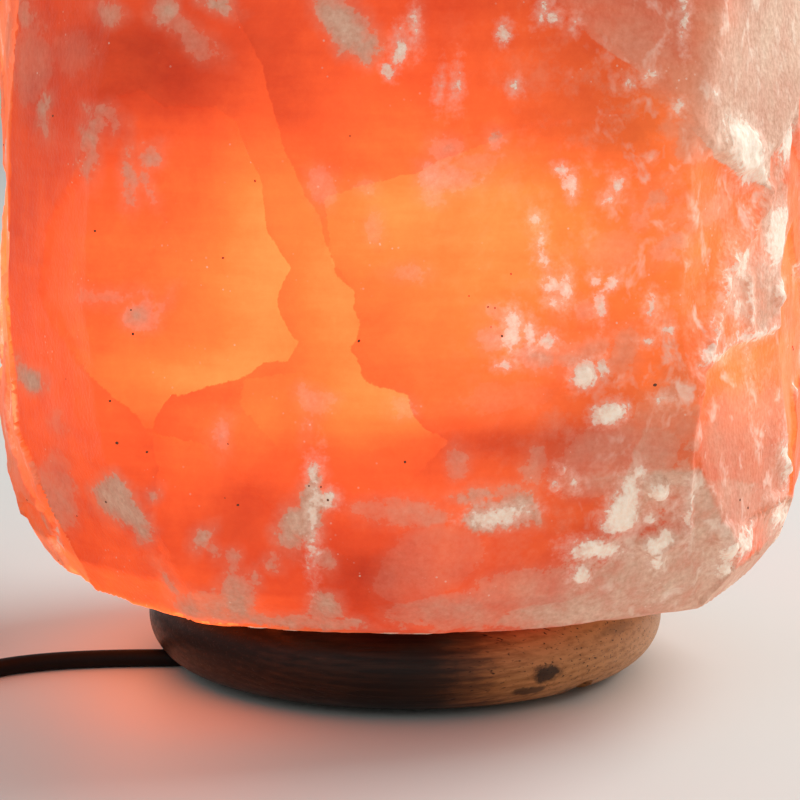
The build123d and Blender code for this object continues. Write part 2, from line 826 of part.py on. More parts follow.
grip_channel = cord_radius + grip_cord_gap
split_height = grip_height - grip_split
with BuildPart() as cord_grip_body:
    with BuildSketch(facing(lead_azimuth, grip_circle - grip_length / 2, 0)):
        with Locations((0, (grip_height + flange_bottom) / 2)):
            Rectangle(grip_width, flange_bottom - grip_height)
        with Locations((0, grip_height)):
            Circle(grip_channel, mode=Mode.SUBTRACT)
    extrude(amount=grip_length)
    discs(Locations(*grip_screw_spots), grip_screw_radius + gap, grip_height, flange_bottom, Mode.SUBTRACT)
cord_grip_body.part.label = "cord_grip_body"
export_step(cord_grip_body.part, "parts/cord_grip_body.step")

bar_bottom = split_height - grip_bar_height
with BuildPart() as cord_grip_bar:
    with BuildSketch(facing(lead_azimuth, grip_circle - grip_length / 2, 0)):
        with Locations((0, split_height - grip_bar_height / 2)):
            Rectangle(grip_width, grip_bar_height)
        with Locations((0, grip_height)):
            Circle(grip_channel, mode=Mode.SUBTRACT)
    extrude(amount=grip_length)
    discs(Locations(*grip_screw_spots), grip_screw_radius + gap, bar_bottom, split_height, Mode.SUBTRACT)
cord_grip_bar.part.label = "cord_grip_bar"
export_step(cord_grip_bar.part, "parts/cord_grip_bar.step")

with BuildPart() as grip_screws:
    discs(
        Locations(*grip_screw_spots),
        grip_screw_head_radius,
        bar_bottom - grip_screw_head_height,
        bar_bottom,
    )
    discs(Locations(*grip_screw_spots), grip_screw_radius, bar_bottom, shoulder)
grip_screws.part.label = "grip_screws"
export_step(grip_screws.part, "parts/grip_screws.step")

# ---------------------------------------------------------------- free cord and its coil
with BuildPart() as lamp_cord:
    tube_along("lamp cord", list(lamp_cord_route), cord_radius)
lamp_cord.part.label = "lamp_cord"
export_step(lamp_cord.part, "parts/lamp_cord.step")

with BuildPart() as dimmer_exit_cord:
    tube_along("dimmer exit cord", list(dimmer_exit_route), cord_radius)
dimmer_exit_cord.part.label = "dimmer_exit_cord"
export_step(dimmer_exit_cord.part, "parts/dimmer_exit_cord.step")

# Half turns with alternate centres spiral in on the floor, climb one layer, and spiral out again.
half_turn_radii = [coil_outer_radius - step * coil_pitch / 2 for step in range(coil_half_turns)]
climb_radius = half_turn_radii[-1] - coil_pitch / 2
with BuildPart() as cord_coil:
    with BuildLine() as coil_line:
        start = Vector(coil_start[0], coil_start[1], floor_height)
        way = 1
        for step, radius in enumerate(half_turn_radii + [climb_radius] + half_turn_radii[::-1]):
            rise = coil_layer if step == coil_half_turns else 0
            end = start + Vector(2 * way * radius, 0, rise)
            bulge = way * math.hypot(radius, rise / 2)
            ThreePointArc(start, (start + end) / 2 + Vector(0, bulge, 0), end)
            start = end
            way = -way
    with BuildSketch(Plane(origin=coil_line.line @ 0, z_dir=(0, 1, 0))):
        Circle(cord_radius)
    coil_wire = coil_line.wires()[0]
    sweep(path=coil_wire)
print("coil length", round(coil_wire.length, 1))
print("coil gap to itself", round(least_gap_to_itself(coil_wire, 2 * cord_radius), 2))
cord_coil.part.label = "cord_coil"
export_step(cord_coil.part, "parts/cord_coil.step")

with BuildPart() as plug_cord:
    tube_along("plug cord", list(plug_cord_route), cord_radius)
plug_cord.part.label = "plug_cord"
export_step(plug_cord.part, "parts/plug_cord.step")

# ---------------------------------------------------------------- dimmer
dimmer_plane = Plane(origin=(dimmer_centre_x, dimmer_centre_y, 0))
boss_spots = [
    (side_x * boss_offset_x, side_y * boss_offset_y) for side_x in (-1, 1) for side_y in (-1, 1)
]
cavity_width = dimmer_width - 2 * dimmer_wall
cavity_length = dimmer_length - 2 * dimmer_wall
cavity_corner = dimmer_corner - dimmer_wall


def dimmer_discs(spots, radius, low, high, mode=Mode.ADD):
    """Upright cylinders at places counted from the dimmer's middle."""
    with BuildSketch(dimmer_plane.offset(low)) as section:
        with Locations(*spots):
            Circle(radius)
    extrude(section.sketch, amount=high - low, mode=mode)


def dimmer_boxes(spots, width, length, low, high, mode=Mode.ADD):
    """Upright blocks at places counted from the dimmer's middle."""
    with BuildSketch(dimmer_plane.offset(low)) as section:
        with Locations(*spots):
            Rectangle(width, length)
    extrude(section.sketch, amount=high - low, mode=mode)


def dimmer_tray(low, high, floor_low, floor_high):
    """A case half: a rounded tray whose hollow lies between two heights."""
    with BuildSketch(dimmer_plane.offset(low)) as outside:
        RectangleRounded(dimmer_width, dimmer_length, dimmer_corner)
    extrude(outside.sketch, amount=high - low)
    with BuildSketch(dimmer_plane.offset(floor_low)) as inside:
        RectangleRounded(cavity_width, cavity_length, cavity_corner)
    extrude(inside.sketch, amount=floor_high - floor_low, mode=Mode.SUBTRACT)


def cord_holes():
    """Holes through both ends of the dimmer's case for the strain reliefs."""
    with BuildSketch(Plane.XZ.offset(cut_past + dimmer_length / 2 - dimmer_centre_y)) as section:
        with Locations((dimmer_centre_x, dimmer_split)):
            Circle(relief_radius + gap)
    extrude(section.sketch, amount=-(dimmer_length + 2 * cut_past), mode=Mode.SUBTRACT)


with BuildPart() as dimmer_lower_case:
    dimmer_tray(0, dimmer_split, dimmer_wall, dimmer_split)
    dimmer_boxes(((0, -rib_offset), (0, rib_offset)), cavity_width, rib_thickness, dimmer_wall, board_bottom)
    dimmer_discs(boss_spots, boss_radius, dimmer_wall, dimmer_split)
    cord_holes()
    dimmer_discs(boss_spots, case_screw_radius + gap, 0, dimmer_split, Mode.SUBTRACT)
    dimmer_discs(
        boss_spots,
        case_screw_head_radius + case_screw_head_gap,
        0,
        case_screw_sink,
        Mode.SUBTRACT,
    )
dimmer_lower_case.part.label = "dimmer_lower_case"
export_step(dimmer_lower_case.part, "parts/dimmer_lower_case.step")

with BuildPart() as dimmer_upper_case:
    dimmer_tray(dimmer_split, dimmer_height, dimmer_split, dimmer_height - dimmer_wall)
    dimmer_discs(boss_spots, boss_radius, dimmer_split, dimmer_height - dimmer_wall)
    cord_holes()
    dimmer_discs(
        boss_spots,
        case_screw_radius + gap,
        dimmer_split,
        case_screw_sink + case_screw_length + pilot_spare,
        Mode.SUBTRACT,
    )
    dimmer_discs(
        ((0, 0),),
        bush_radius + bush_gap,
        dimmer_height - dimmer_wall,
        dimmer_height,
        Mode.SUBTRACT,
    )
    fillet(dimmer_upper_case.faces().sort_by(Axis.Z)[-1].outer_wire().edges(), radius=dimmer_top_round)
dimmer_upper_case.part.label = "dimmer_upper_case"
export_step(dimmer_upper_case.part, "parts/dimmer_upper_case.step")

with BuildPart() as dimmer_screws:
    dimmer_discs(
        boss_spots,
        case_screw_head_radius,
        case_screw_sink - case_screw_head_height,
        case_screw_sink,
    )
    dimmer_discs(boss_spots, case_screw_radius, case_screw_sink, case_screw_sink + case_screw_length)
dimmer_screws.part.label = "dimmer_screws"
export_step(dimmer_screws.part, "parts/dimmer_screws.step")

with BuildPart() as dimmer_board:
    dimmer_boxes(((0, 0),), board_width, board_length, board_bottom, board_top)
dimmer_board.part.label = "dimmer_board"
export_step(dimmer_board.part, "parts/dimmer_board.step")

with BuildPart() as dimmer_potentiometer:
    dimmer_discs(((0, 0),), pot_radius, board_top, pot_top)
    dimmer_discs(((0, 0),), bush_radius, pot_top, bush_top)
    dimmer_discs(
        ((0, 0),), shaft_radius + running_gap, pot_top - shaft_tail - gap, bush_top, Mode.SUBTRACT
    )
dimmer_potentiometer.part.label = "dimmer_potentiometer"
export_step(dimmer_potentiometer.part, "parts/dimmer_potentiometer.step")

with BuildPart() as dimmer_shaft:
    dimmer_discs(((0, 0),), shaft_radius, pot_top - shaft_tail, knob_top - knob_roof - gap)
dimmer_shaft.part.label = "dimmer_shaft"
export_step(dimmer_shaft.part, "parts/dimmer_shaft.step")

with BuildPart() as dimmer_knob:
    dimmer_discs(((0, 0),), knob_radius, knob_bottom, knob_top)
    fillet(dimmer_knob.edges().group_by(Axis.Z)[-1], radius=knob_round)
    dimmer_discs(((0, 0),), shaft_radius + gap, knob_bottom, knob_top - knob_roof, Mode.SUBTRACT)
    with BuildSketch(dimmer_plane.offset(knob_bottom)) as flutes:
        with PolarLocations(knob_radius + knob_flute_radius - knob_flute_inset, knob_flutes):
            Circle(knob_flute_radius)
    extrude(flutes.sketch, amount=knob_height, mode=Mode.SUBTRACT)
    mark_width, mark_length, mark_depth = knob_mark
    dimmer_boxes(
        ((0, knob_mark_place),),
        mark_width,
        mark_length,
        knob_top - mark_depth,
        knob_top,
        Mode.SUBTRACT,
    )
dimmer_knob.part.label = "dimmer_knob"
export_step(dimmer_knob.part, "parts/dimmer_knob.step")

with BuildPart() as dimmer_triac:
    dimmer_boxes((triac_place,), triac_size[0], triac_size[1], board_top, board_top + triac_size[2])
dimmer_triac.part.label = "dimmer_triac"
export_step(dimmer_triac.part, "parts/dimmer_triac.step")

with BuildPart() as dimmer_capacitor:
    dimmer_boxes(
        (capacitor_place,),
        capacitor_size[0],
        capacitor_size[1],
        board_top,
        board_top + capacitor_size[2],
    )
    fillet(dimmer_capacitor.edges().filter_by(Axis.Z), radius=capacitor_round)
dimmer_capacitor.part.label = "dimmer_capacitor"
export_step(dimmer_capacitor.part, "parts/dimmer_capacitor.step")

with BuildPart() as dimmer_choke:
    dimmer_discs((choke_place,), choke_radius, board_top, board_top + choke_height)
    dimmer_discs((choke_place,), choke_bore, board_top, board_top + choke_height, Mode.SUBTRACT)
    fillet(dimmer_choke.edges().group_by(Axis.Z)[-1], radius=choke_round)
dimmer_choke.part.label = "dimmer_choke"
export_step(dimmer_choke.part, "parts/dimmer_choke.step")

with BuildPart() as dimmer_strain_reliefs:
    for side in (-1, 1):
        wall = dimmer_centre_y + side * dimmer_length / 2
        with BuildSketch(Plane.XZ.offset(side * relief_root - wall)) as root:
            with Locations((dimmer_centre_x, dimmer_split)):
                Circle(relief_radius)
        extrude(root.sketch, amount=-side * relief_root)
        with BuildSketch(Plane.XZ.offset(-wall)) as face:
            with Locations((dimmer_centre_x, dimmer_split)):
                Circle(relief_radius)
        with BuildSketch(Plane.XZ.offset(-(wall + side * relief_length))) as tip:
            with Locations((dimmer_centre_x, dimmer_split)):
                Circle(relief_tip_radius)
        loft(sections=[face.sketch, tip.sketch], ruled=True)
dimmer_strain_reliefs.part.label = "dimmer_strain_reliefs"
export_step(dimmer_strain_reliefs.part, "parts/dimmer_strain_reliefs.step")

# ---------------------------------------------------------------- plug
pin_spots = [(plug_x - pin_spacing / 2, plug_height), (plug_x + pin_spacing / 2, plug_height)]


def pin_discs(radius, near, far, mode=Mode.ADD):
    """Cylinders on both pins' axes, between two distances in front of the plug's face."""
    with BuildSketch(Plane.XZ.offset(-(plug_face - near))) as section:
        with Locations(*pin_spots):
            Circle(radius)
    extrude(section.sketch, amount=far - near, mode=mode)


with BuildPart() as plug_body:
    with BuildSketch(Plane.XY.offset(plug_height - plug_thickness / 2)):
        with BuildLine():
            FilletPolyline(
                (plug_x + plug_width / 2, plug_face),
                (plug_x + plug_width / 2, plug_face + plug_shoulder),
                (plug_x + plug_rear_width / 2, plug_rear),
                (plug_x - plug_rear_width / 2, plug_rear),
                (plug_x - plug_width / 2, plug_face + plug_shoulder),
                (plug_x - plug_width / 2, plug_face),
                radius=plug_corner,
                close=True,
            )
        make_face()
    extrude(amount=plug_thickness)
    top_and_bottom = plug_body.edges().group_by(Axis.Z)[-1] + plug_body.edges().group_by(Axis.Z)[0]
    fillet(top_and_bottom, radius=plug_round)
    pin_discs(pin_core_radius + gap, -pin_root - gap, 0, Mode.SUBTRACT)
plug_body.part.label = "plug_body"
export_step(plug_body.part, "parts/plug_body.step")

with BuildPart() as plug_pins:
    pin_discs(pin_core_radius, -pin_root, pin_sleeve_length)
    pin_discs(pin_radius, pin_sleeve_length, pin_length)
    fillet(plug_pins.edges().group_by(Axis.Y)[0], radius=pin_tip_round)
plug_pins.part.label = "plug_pins"
export_step(plug_pins.part, "parts/plug_pins.step")

with BuildPart() as plug_pin_sleeves:
    pin_discs(pin_radius, 0, pin_sleeve_length)
    pin_discs(pin_core_radius + pin_sleeve_gap, 0, pin_sleeve_length, Mode.SUBTRACT)
plug_pin_sleeves.part.label = "plug_pin_sleeves"
export_step(plug_pin_sleeves.part, "parts/plug_pin_sleeves.step")

with BuildPart() as plug_strain_relief:
    with BuildSketch(Plane.XZ.offset(-plug_rear)):
        with Locations((plug_x, plug_height)):
            Circle(plug_relief_radius)
    with BuildSketch(Plane.XZ.offset(-(plug_rear + plug_relief_length))):
        with Locations((plug_x, plug_height)):
            Circle(relief_tip_radius)
    loft(ruled=True)
plug_strain_relief.part.label = "plug_strain_relief"
export_step(plug_strain_relief.part, "parts/plug_strain_relief.step")
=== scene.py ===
import json
import math

import bmesh
import bpy
import numpy as np
from mathutils import Euler, Matrix, Vector, bvhtree, noise


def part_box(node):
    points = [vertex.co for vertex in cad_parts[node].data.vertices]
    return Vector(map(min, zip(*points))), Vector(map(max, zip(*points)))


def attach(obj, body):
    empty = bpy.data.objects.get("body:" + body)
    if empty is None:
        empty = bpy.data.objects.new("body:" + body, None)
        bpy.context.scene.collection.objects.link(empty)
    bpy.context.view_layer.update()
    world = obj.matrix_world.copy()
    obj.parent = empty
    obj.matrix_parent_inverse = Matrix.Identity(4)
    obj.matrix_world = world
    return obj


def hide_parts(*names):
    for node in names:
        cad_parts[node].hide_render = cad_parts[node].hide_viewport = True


# A salt crystal lamp on a turned wooden base. Metres, +Z up, -Y to the front, +X to the right, the
# origin on the base's axis at the surface that the feet stand on.

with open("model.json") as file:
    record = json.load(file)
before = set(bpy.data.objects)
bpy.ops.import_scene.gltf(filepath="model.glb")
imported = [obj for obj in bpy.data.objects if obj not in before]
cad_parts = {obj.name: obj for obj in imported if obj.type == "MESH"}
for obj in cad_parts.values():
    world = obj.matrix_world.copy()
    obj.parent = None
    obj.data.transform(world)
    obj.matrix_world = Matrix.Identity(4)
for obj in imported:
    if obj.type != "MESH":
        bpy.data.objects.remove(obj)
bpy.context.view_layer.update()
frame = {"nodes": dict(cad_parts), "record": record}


def new_object(name, data):
    thing = bpy.data.objects.new(name, data)
    bpy.context.scene.collection.objects.link(thing)
    return thing


# ---- camera
picture = 800  # the frame's width and height in pixels
focal_px = 2741.0
camera_distance = 0.85  # from the plane of the base's axis, along the line of sight
camera_pitch = math.radians(9.53)
aim = Vector((-0.00161, 0.0, 0.0815))
sight = Vector((0.0, math.cos(camera_pitch), -math.sin(camera_pitch)))
upward = Vector((0.0, math.sin(camera_pitch), math.cos(camera_pitch)))
camera_place = aim - sight * camera_distance

camera_data = bpy.data.cameras.new("photo_camera")
camera_data.sensor_width = 36.0
camera_data.lens = 36.0 * focal_px / picture
camera_data.clip_start = 0.05
camera_data.clip_end = 50.0
camera = new_object("photo_camera", camera_data)
camera.location = camera_place
camera.rotation_euler = Euler((math.pi / 2 - camera_pitch, 0.0, 0.0))
bpy.context.scene.camera = camera


def to_picture(points):
    """Where points (rows of x, y, z) fall in the photograph's pixels."""
    away = points - np.array(camera_place)
    depth = away @ np.array(sight)
    across = picture / 2 + focal_px * away[:, 0] / depth
    down = picture / 2 - focal_px * (away @ np.array(upward)) / depth
    return np.stack((across, down), axis=1)


# ---- helpers
def add_object(name, data, body="lamp"):
    """A new object in the scene that rides on a body."""
    thing = new_object(name, data)
    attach(thing, body)
    return thing


def smoothed(mesh):
    for polygon in mesh.polygons:
        polygon.use_smooth = True
    return mesh


def mesh_of(shape, name, material):
    """A new mesh from a bmesh, which is freed."""
    mesh = bpy.data.meshes.new(name)
    shape.to_mesh(mesh)
    shape.free()
    mesh.materials.append(material)
    return mesh


def smooth_step(low, high, value):
    """From 0 at low to 1 at high, level at both."""
    share = np.clip((value - low) / (high - low), 0.0, 1.0)
    return share * share * (3.0 - 2.0 * share)


materials = {}  # by name, which is the slot's name where the frame has one


class Nodes:
    """A material's nodes, written one call to a node."""

    def __init__(self, name):
        self.material = materials[name] = bpy.data.materials.new(name)
        self.material.use_nodes = True
        self.tree = self.material.node_tree
        self.shader = self.tree.nodes["Principled BSDF"]

    def feed(self, made, key, value):
        """Sets a node's input, given by its name or its number, to a value or a link."""
        socket = made.inputs[int(key)] if key.isdigit() else made.inputs[key]
        if isinstance(value, bpy.types.NodeSocket):
            self.tree.links.new(value, socket)
        else:
            socket.default_value = value

    def set(self, **sockets):
        for key, value in sockets.items():
            self.feed(self.shader, key.replace("_", " "), value)

    def math(self, operation, first, second=0.0, clamp=False):
        made = self.tree.nodes.new("ShaderNodeMath")
        made.operation = operation
        made.use_clamp = clamp
        self.feed(made, "0", first)
        self.feed(made, "1", second)
        return made.outputs[0]

    def plus(self, first, second, clamp=False):
        return self.math("ADD", first, second, clamp)

    def minus(self, first, second):
        return self.math("SUBTRACT", first, second)

    def times(self, first, second):
        return self.math("MULTIPLY", first, second)

    def larger(self, first, second):
        return self.math("MAXIMUM", first, second)

    def coordinates(self, scale=(1.0, 1.0, 1.0), turn=(0.0, 0.0, 0.0)):
        """The object's own coordinates, scaled and turned."""
        place = self.tree.nodes.new("ShaderNodeTexCoord").outputs["Object"]
        made = self.tree.nodes.new("ShaderNodeMapping")
        self.feed(made, "Vector", place)
        made.inputs["Scale"].default_value = scale
        made.inputs["Rotation"].default_value = turn
        return made.outputs[0]

    def noise(self, scale, detail=4.0, roughness=0.55, distortion=0.0, vector=None):
        made = self.tree.nodes.new("ShaderNodeTexNoise")
        made.inputs["Scale"].default_value = scale
        made.inputs["Detail"].default_value = detail
        made.inputs["Roughness"].default_value = roughness
        made.inputs["Distortion"].default_value = distortion
        self.feed(made, "Vector", vector or self.coordinates())
        return made.outputs["Fac"]

    def cells(self, scale, feature="F1"):
        made = self.tree.nodes.new("ShaderNodeTexVoronoi")
        made.feature = feature
        made.inputs["Scale"].default_value = scale
        self.feed(made, "Vector", self.coordinates())
        return made.outputs["Distance"]

    def ramp(self, value, *stops):
        """A colour ramp. Each stop is a place and a colour."""
        made = self.tree.nodes.new("ShaderNodeValToRGB")
        elements = made.color_ramp.elements
        while len(elements) < len(stops):
            elements.new(0.5)
        for element, (place, colour) in zip(elements, stops):
            element.position = place
            element.color = (*colour, 1.0)
        self.feed(made, "Fac", value)
        return made.outputs["Color"]

    def range(self, value, low, high, to_low=0.0, to_high=1.0, smooth=False):
        """Moves a value from one range to another, and holds it within that."""
        made = self.tree.nodes.new("ShaderNodeMapRange")
        if smooth:
            made.interpolation_type = "SMOOTHSTEP"
        for key, number in zip(("1", "2", "3", "4"), (low, high, to_low, to_high)):
            self.feed(made, key, number)
        self.feed(made, "0", value)
        return made.outputs[0]

    def mix(self, share, first, second, blend="MIX"):
        """A blend of two colours, all the first at a share of 0."""
        made = self.tree.nodes.new("ShaderNodeMix")
        made.data_type = "RGBA"
        made.blend_type = blend
        self.feed(made, "0", share)
        for key, colour in (("6", first), ("7", second)):
            if isinstance(colour, tuple):
                colour = (*colour, 1.0)
            self.feed(made, key, colour)
        return made.outputs[2]

    def attribute(self, name):
        made = self.tree.nodes.new("ShaderNodeAttribute")
        made.attribute_name = name
        return made.outputs["Fac"]

    def bump(self, height, distance):
        made = self.tree.nodes.new("ShaderNodeBump")
        made.inputs["Distance"].default_value = distance
        self.feed(made, "Height", height)
        self.set(Normal=made.outputs[0])


# ---- cords
cord_diameter = 0.0054
floor_line = 0.00275
split_height = 0.008
lamp_lead_route = (
    (-0.076, -0.0136, floor_line),
    (-0.104, -0.0136, floor_line),
    (-0.1337, -0.0301, floor_line),
    (-0.152, -0.068, floor_line),
    (-0.176, -0.106, floor_line),
    (-0.208, -0.122, floor_line),
    (-0.236, -0.116, 0.0042),
    (-0.25, -0.09, split_height),
    (-0.25, -0.071, split_height),
)
base_lead_route = (
    (0.0, 0.0, 0.038),
    (0.0, 0.0, 0.02),
    (-0.0088346, -0.0017173, 0.0095),
    (-0.0235591, -0.0045794, 0.0053),
    (-0.04221, -0.0082048, 0.0053),
    (-0.062, -0.0136, floor_line),
    (-0.076, -0.0136, floor_line),
)
dimmer_exit_route = (
    (-0.25, 0.047, split_height),
    (-0.25, 0.063, split_height),
    (-0.242, 0.09, floor_line),
)
coil_start = (-0.242, 0.106)
coil_outer_radius = 0.042
coil_pitch = 0.007
coil_layer = 0.006
coil_half_turns = 6
points_per_turn = 16
plug_route = (
    (-0.158, 0.09, floor_line + coil_layer),
    (-0.1595, 0.072, 0.007),
    (-0.1595, 0.058, 0.007),
)


def coil_points():
    """Control points of the coil: half turns that spiral in, climb one layer and spiral out again."""
    radii = [coil_outer_radius - step * coil_pitch / 2 for step in range(coil_half_turns)]
    radii = radii + [radii[-1] - coil_pitch / 2] + radii[::-1]
    steps = points_per_turn // 2
    # A spline of order 3 cuts inside its control points, which lie that much further out.
    stand_off = 1.0 / math.cos(math.pi / points_per_turn) ** 0.5
    across, height, way = coil_start[0], floor_line, 1
    points = []
    for number, radius in enumerate(radii):
        middle = across + way * radius
        climb = coil_layer if number == coil_half_turns else 0.0
        for step in range(steps):
            angle = math.pi * (step + 0.5) / steps
            out = way * radius * stand_off
            place = (middle - out * math.cos(angle), coil_start[1] + out * math.sin(angle))
            points.append((*place, height + climb * (step + 0.5) / steps))
        across += 2 * way * radius
        height += climb
        way = -way
    return points


def cord_curve(name, points, material, diameter=cord_diameter):
    """A round cord along one open NURBS spline."""
    curve = bpy.data.curves.new(name, "CURVE")
    curve.dimensions = "3D"
    curve.bevel_depth = diameter / 2
    curve.bevel_resolution = 5
    curve.resolution_u = 10
    curve.use_fill_caps = True
    spline = curve.splines.new("NURBS")
    spline.points.add(len(points) - 1)
    for point, place in zip(spline.points, points):
        point.co = (*place, 1.0)
    spline.order_u = 3
    spline.use_endpoint_u = True
    curve.materials.append(material)
    return add_object(name, curve)


cord_look = Nodes("cord_black")
cord_fine = cord_look.noise(900.0, 3.0)
cord_dark = (0.3, (0.0022, 0.002, 0.002))
cord_light = (0.75, (0.0045, 0.004, 0.004))
cord_look.set(
    Base_Color=cord_look.ramp(cord_look.noise(60.0), cord_dark, cord_light),
    Roughness=cord_look.range(cord_fine, 0.2, 0.8, 0.42, 0.6),
    Specular_IOR_Level=0.15,
)
cord_look.bump(cord_fine, 0.00006)
lamp_lead = cord_curve("lamp_lead", lamp_lead_route, cord_look.material)
into_coil = (coil_start[0], coil_start[1] - 0.004, floor_line)
plug_lead_route = (*dimmer_exit_route, into_coil, *coil_points(), *plug_route)
plug_lead = cord_curve("plug_lead", plug_lead_route, cord_look.material)
base_lead = cord_curve("lead_in_base", base_lead_route, cord_look.material)
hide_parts("lamp_cord")
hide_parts("dimmer_exit_cord", "cord_coil", "plug_cord")
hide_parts("base_lead")

# ---- salt block
salt_cell = 0.0017  # size of the block's mesh, halved where the photograph shows it
fine_facing = 0.12  # how squarely a face has to show for that
fine_above_frame = -40.0  # the pixel row down from which it is done
block_foot = 0.0265
bore_wall = 0.0335  # radius inside which the block's mesh is left as it is
bore_top = 0.162
block_radius = 0.115  # about, to unroll the block's sides
unrolled_scale = 3400.0  # photograph's pixels to a metre on the block's front
glow_height = 0.118  # where the block is brightest, round the bulb
glow_reach = 0.085

# Relief, in millimetres.
broad_relief, middle_relief, fine_relief = 0.75, 0.45, 0.12
slab_lift = 2.0

# Where the stone has broken off in flakes, as outlines in the photograph's pixels.
main_flake = (
    (150, 431), (135, 415), (105, 390), (80, 366), (58, 335), (38, 290), (46, 230), (70, 180),
    (85, 140), (115, 98), (140, 90), (165, 107), (215, 107), (235, 122), (245, 145), (262, 185),
    (267, 233), (282, 255), (290, 268), (288, 272), (280, 290), (276, 300), (280, 315), (287, 328),
    (298, 343), (293, 352), (287, 362), (265, 363), (250, 373), (240, 379), (210, 386), (185, 395),
    (172, 395), (163, 405), (158, 413),
)
lip_window = (
    (705, 372), (713, 365), (715, 358), (735, 345), (755, 338), (775, 330), (790, 315), (800, 300),
    (870, 280), (870, 660), (700, 660), (689, 500), (692, 440),
)
low_flake = (
    (243, 380), (241, 400), (248, 415), (300, 470), (420, 450), (360, 395), (300, 372),
)
long_break = (
    (-90, -90), (215, -90), (238, 20), (262, 65), (270, 100), (278, 125), (285, 150), (296, 172),
    (305, 195), (320, 215), (323, 235), (333, 262), (337, 275), (345, 283), (355, 293), (354, 305),
    (360, 325), (358, 340), (350, 348), (355, 355), (362, 375), (368, 383), (380, 387), (395, 390),
    (408, 395), (412, 415), (425, 428), (450, 442), (330, 560), (-90, 560),
)
upper_ledge = (
    (325, 200), (335, 195), (360, 187), (385, 180), (400, 175), (415, 172), (430, 165), (455, 155),
    (530, 125), (640, 110), (700, 240), (610, 380), (460, 430), (412, 395), (362, 375), (360, 325),
    (355, 293), (333, 262),
)
side_crease = (
    (150, 432), (156, 470), (149, 520), (153, 560), (149, 640), (330, 640), (300, 540), (220, 450),
)
raised_slab = (
    (500, -90), (512, -30), (525, -8), (548, 4), (575, 25), (600, 45), (640, 75), (657, 88), (668, 100),
    (680, 118), (700, 140), (710, 155), (725, 168), (735, 177), (750, 172), (757, 185), (763, 190),
    (766, 178), (768, 160), (778, 145), (788, 125), (800, 107), (880, 40), (880, -90),
)
# Glow: across, down, half width, half height, amount.
glow_spots = (
    (450, 270, 330, 150, 0.39), (560, 240, 90, 70, 0.09), (90, 400, 60, 50, 0.08),
    (270, 70, 55, 60, -0.1), (170, 60, 66, 56, -0.24), (60, 60, 80, 90, -0.19),
    (10, 190, 44, 76, -0.15), (240, 435, 90, 36, 0.12), (230, 520, 60, 36, -0.1),
    (400, 562, 60, 36, -0.05), (370, 582, 36, 30, -0.2), (30, 485, 34, 70, 0.03),
    (540, 443, 100, 15, -0.26), (740, 420, 70, 40, 0.06), (722, 27, 20, 26, 0.2),
    (640, 40, 60, 50, -0.14), (640, 560, 50, 30, -0.1), (600, 450, 50, 30, -0.1),
    (300, 560, 80, 40, -0.06), (560, 560, 70, 40, -0.06), (690, 570, 60, 40, -0.08),
    (320, 120, 40, 40, -0.06), (750, 350, 40, 30, 0.04),
    (725, 235, 60, 70, 0.13), (690, 110, 60, 50, 0.09),
)
# Lift inside the flakes: as above, with the share that the outline's own glow takes.
main_lifts = (
    (262, 285, 50, 90, 0.24), (185, 385, 80, 34, 0.3), (140, 200, 160, 120, 0.06),
    (755, 360, 70, 60, 0.24),
)
break_lifts = (
    (340, 310, 40, 80, 0.22), (400, 405, 70, 40, 0.29), (290, 150, 40, 80, 0.12),
    (250, 60, 50, 60, 0.08),
)
ledge_lifts = (
    (400, 215, 110, 50, 0.13), (470, 190, 90, 50, 0.08), (175, 480, 24, 90, 0.12),
    (262, 400, 30, 30, 0.1),
)
# Name, outlines, lifts, number elsewhere on the block, height of the step in millimetres.
flake_families = (
    ("flake", (main_flake, lip_window), main_lifts, 16, 1.5),
    ("break", (long_break,), break_lifts, 14, 0.9),
    ("ledge", (upper_ledge, side_crease, low_flake), ledge_lifts, 14, 1.0),
)
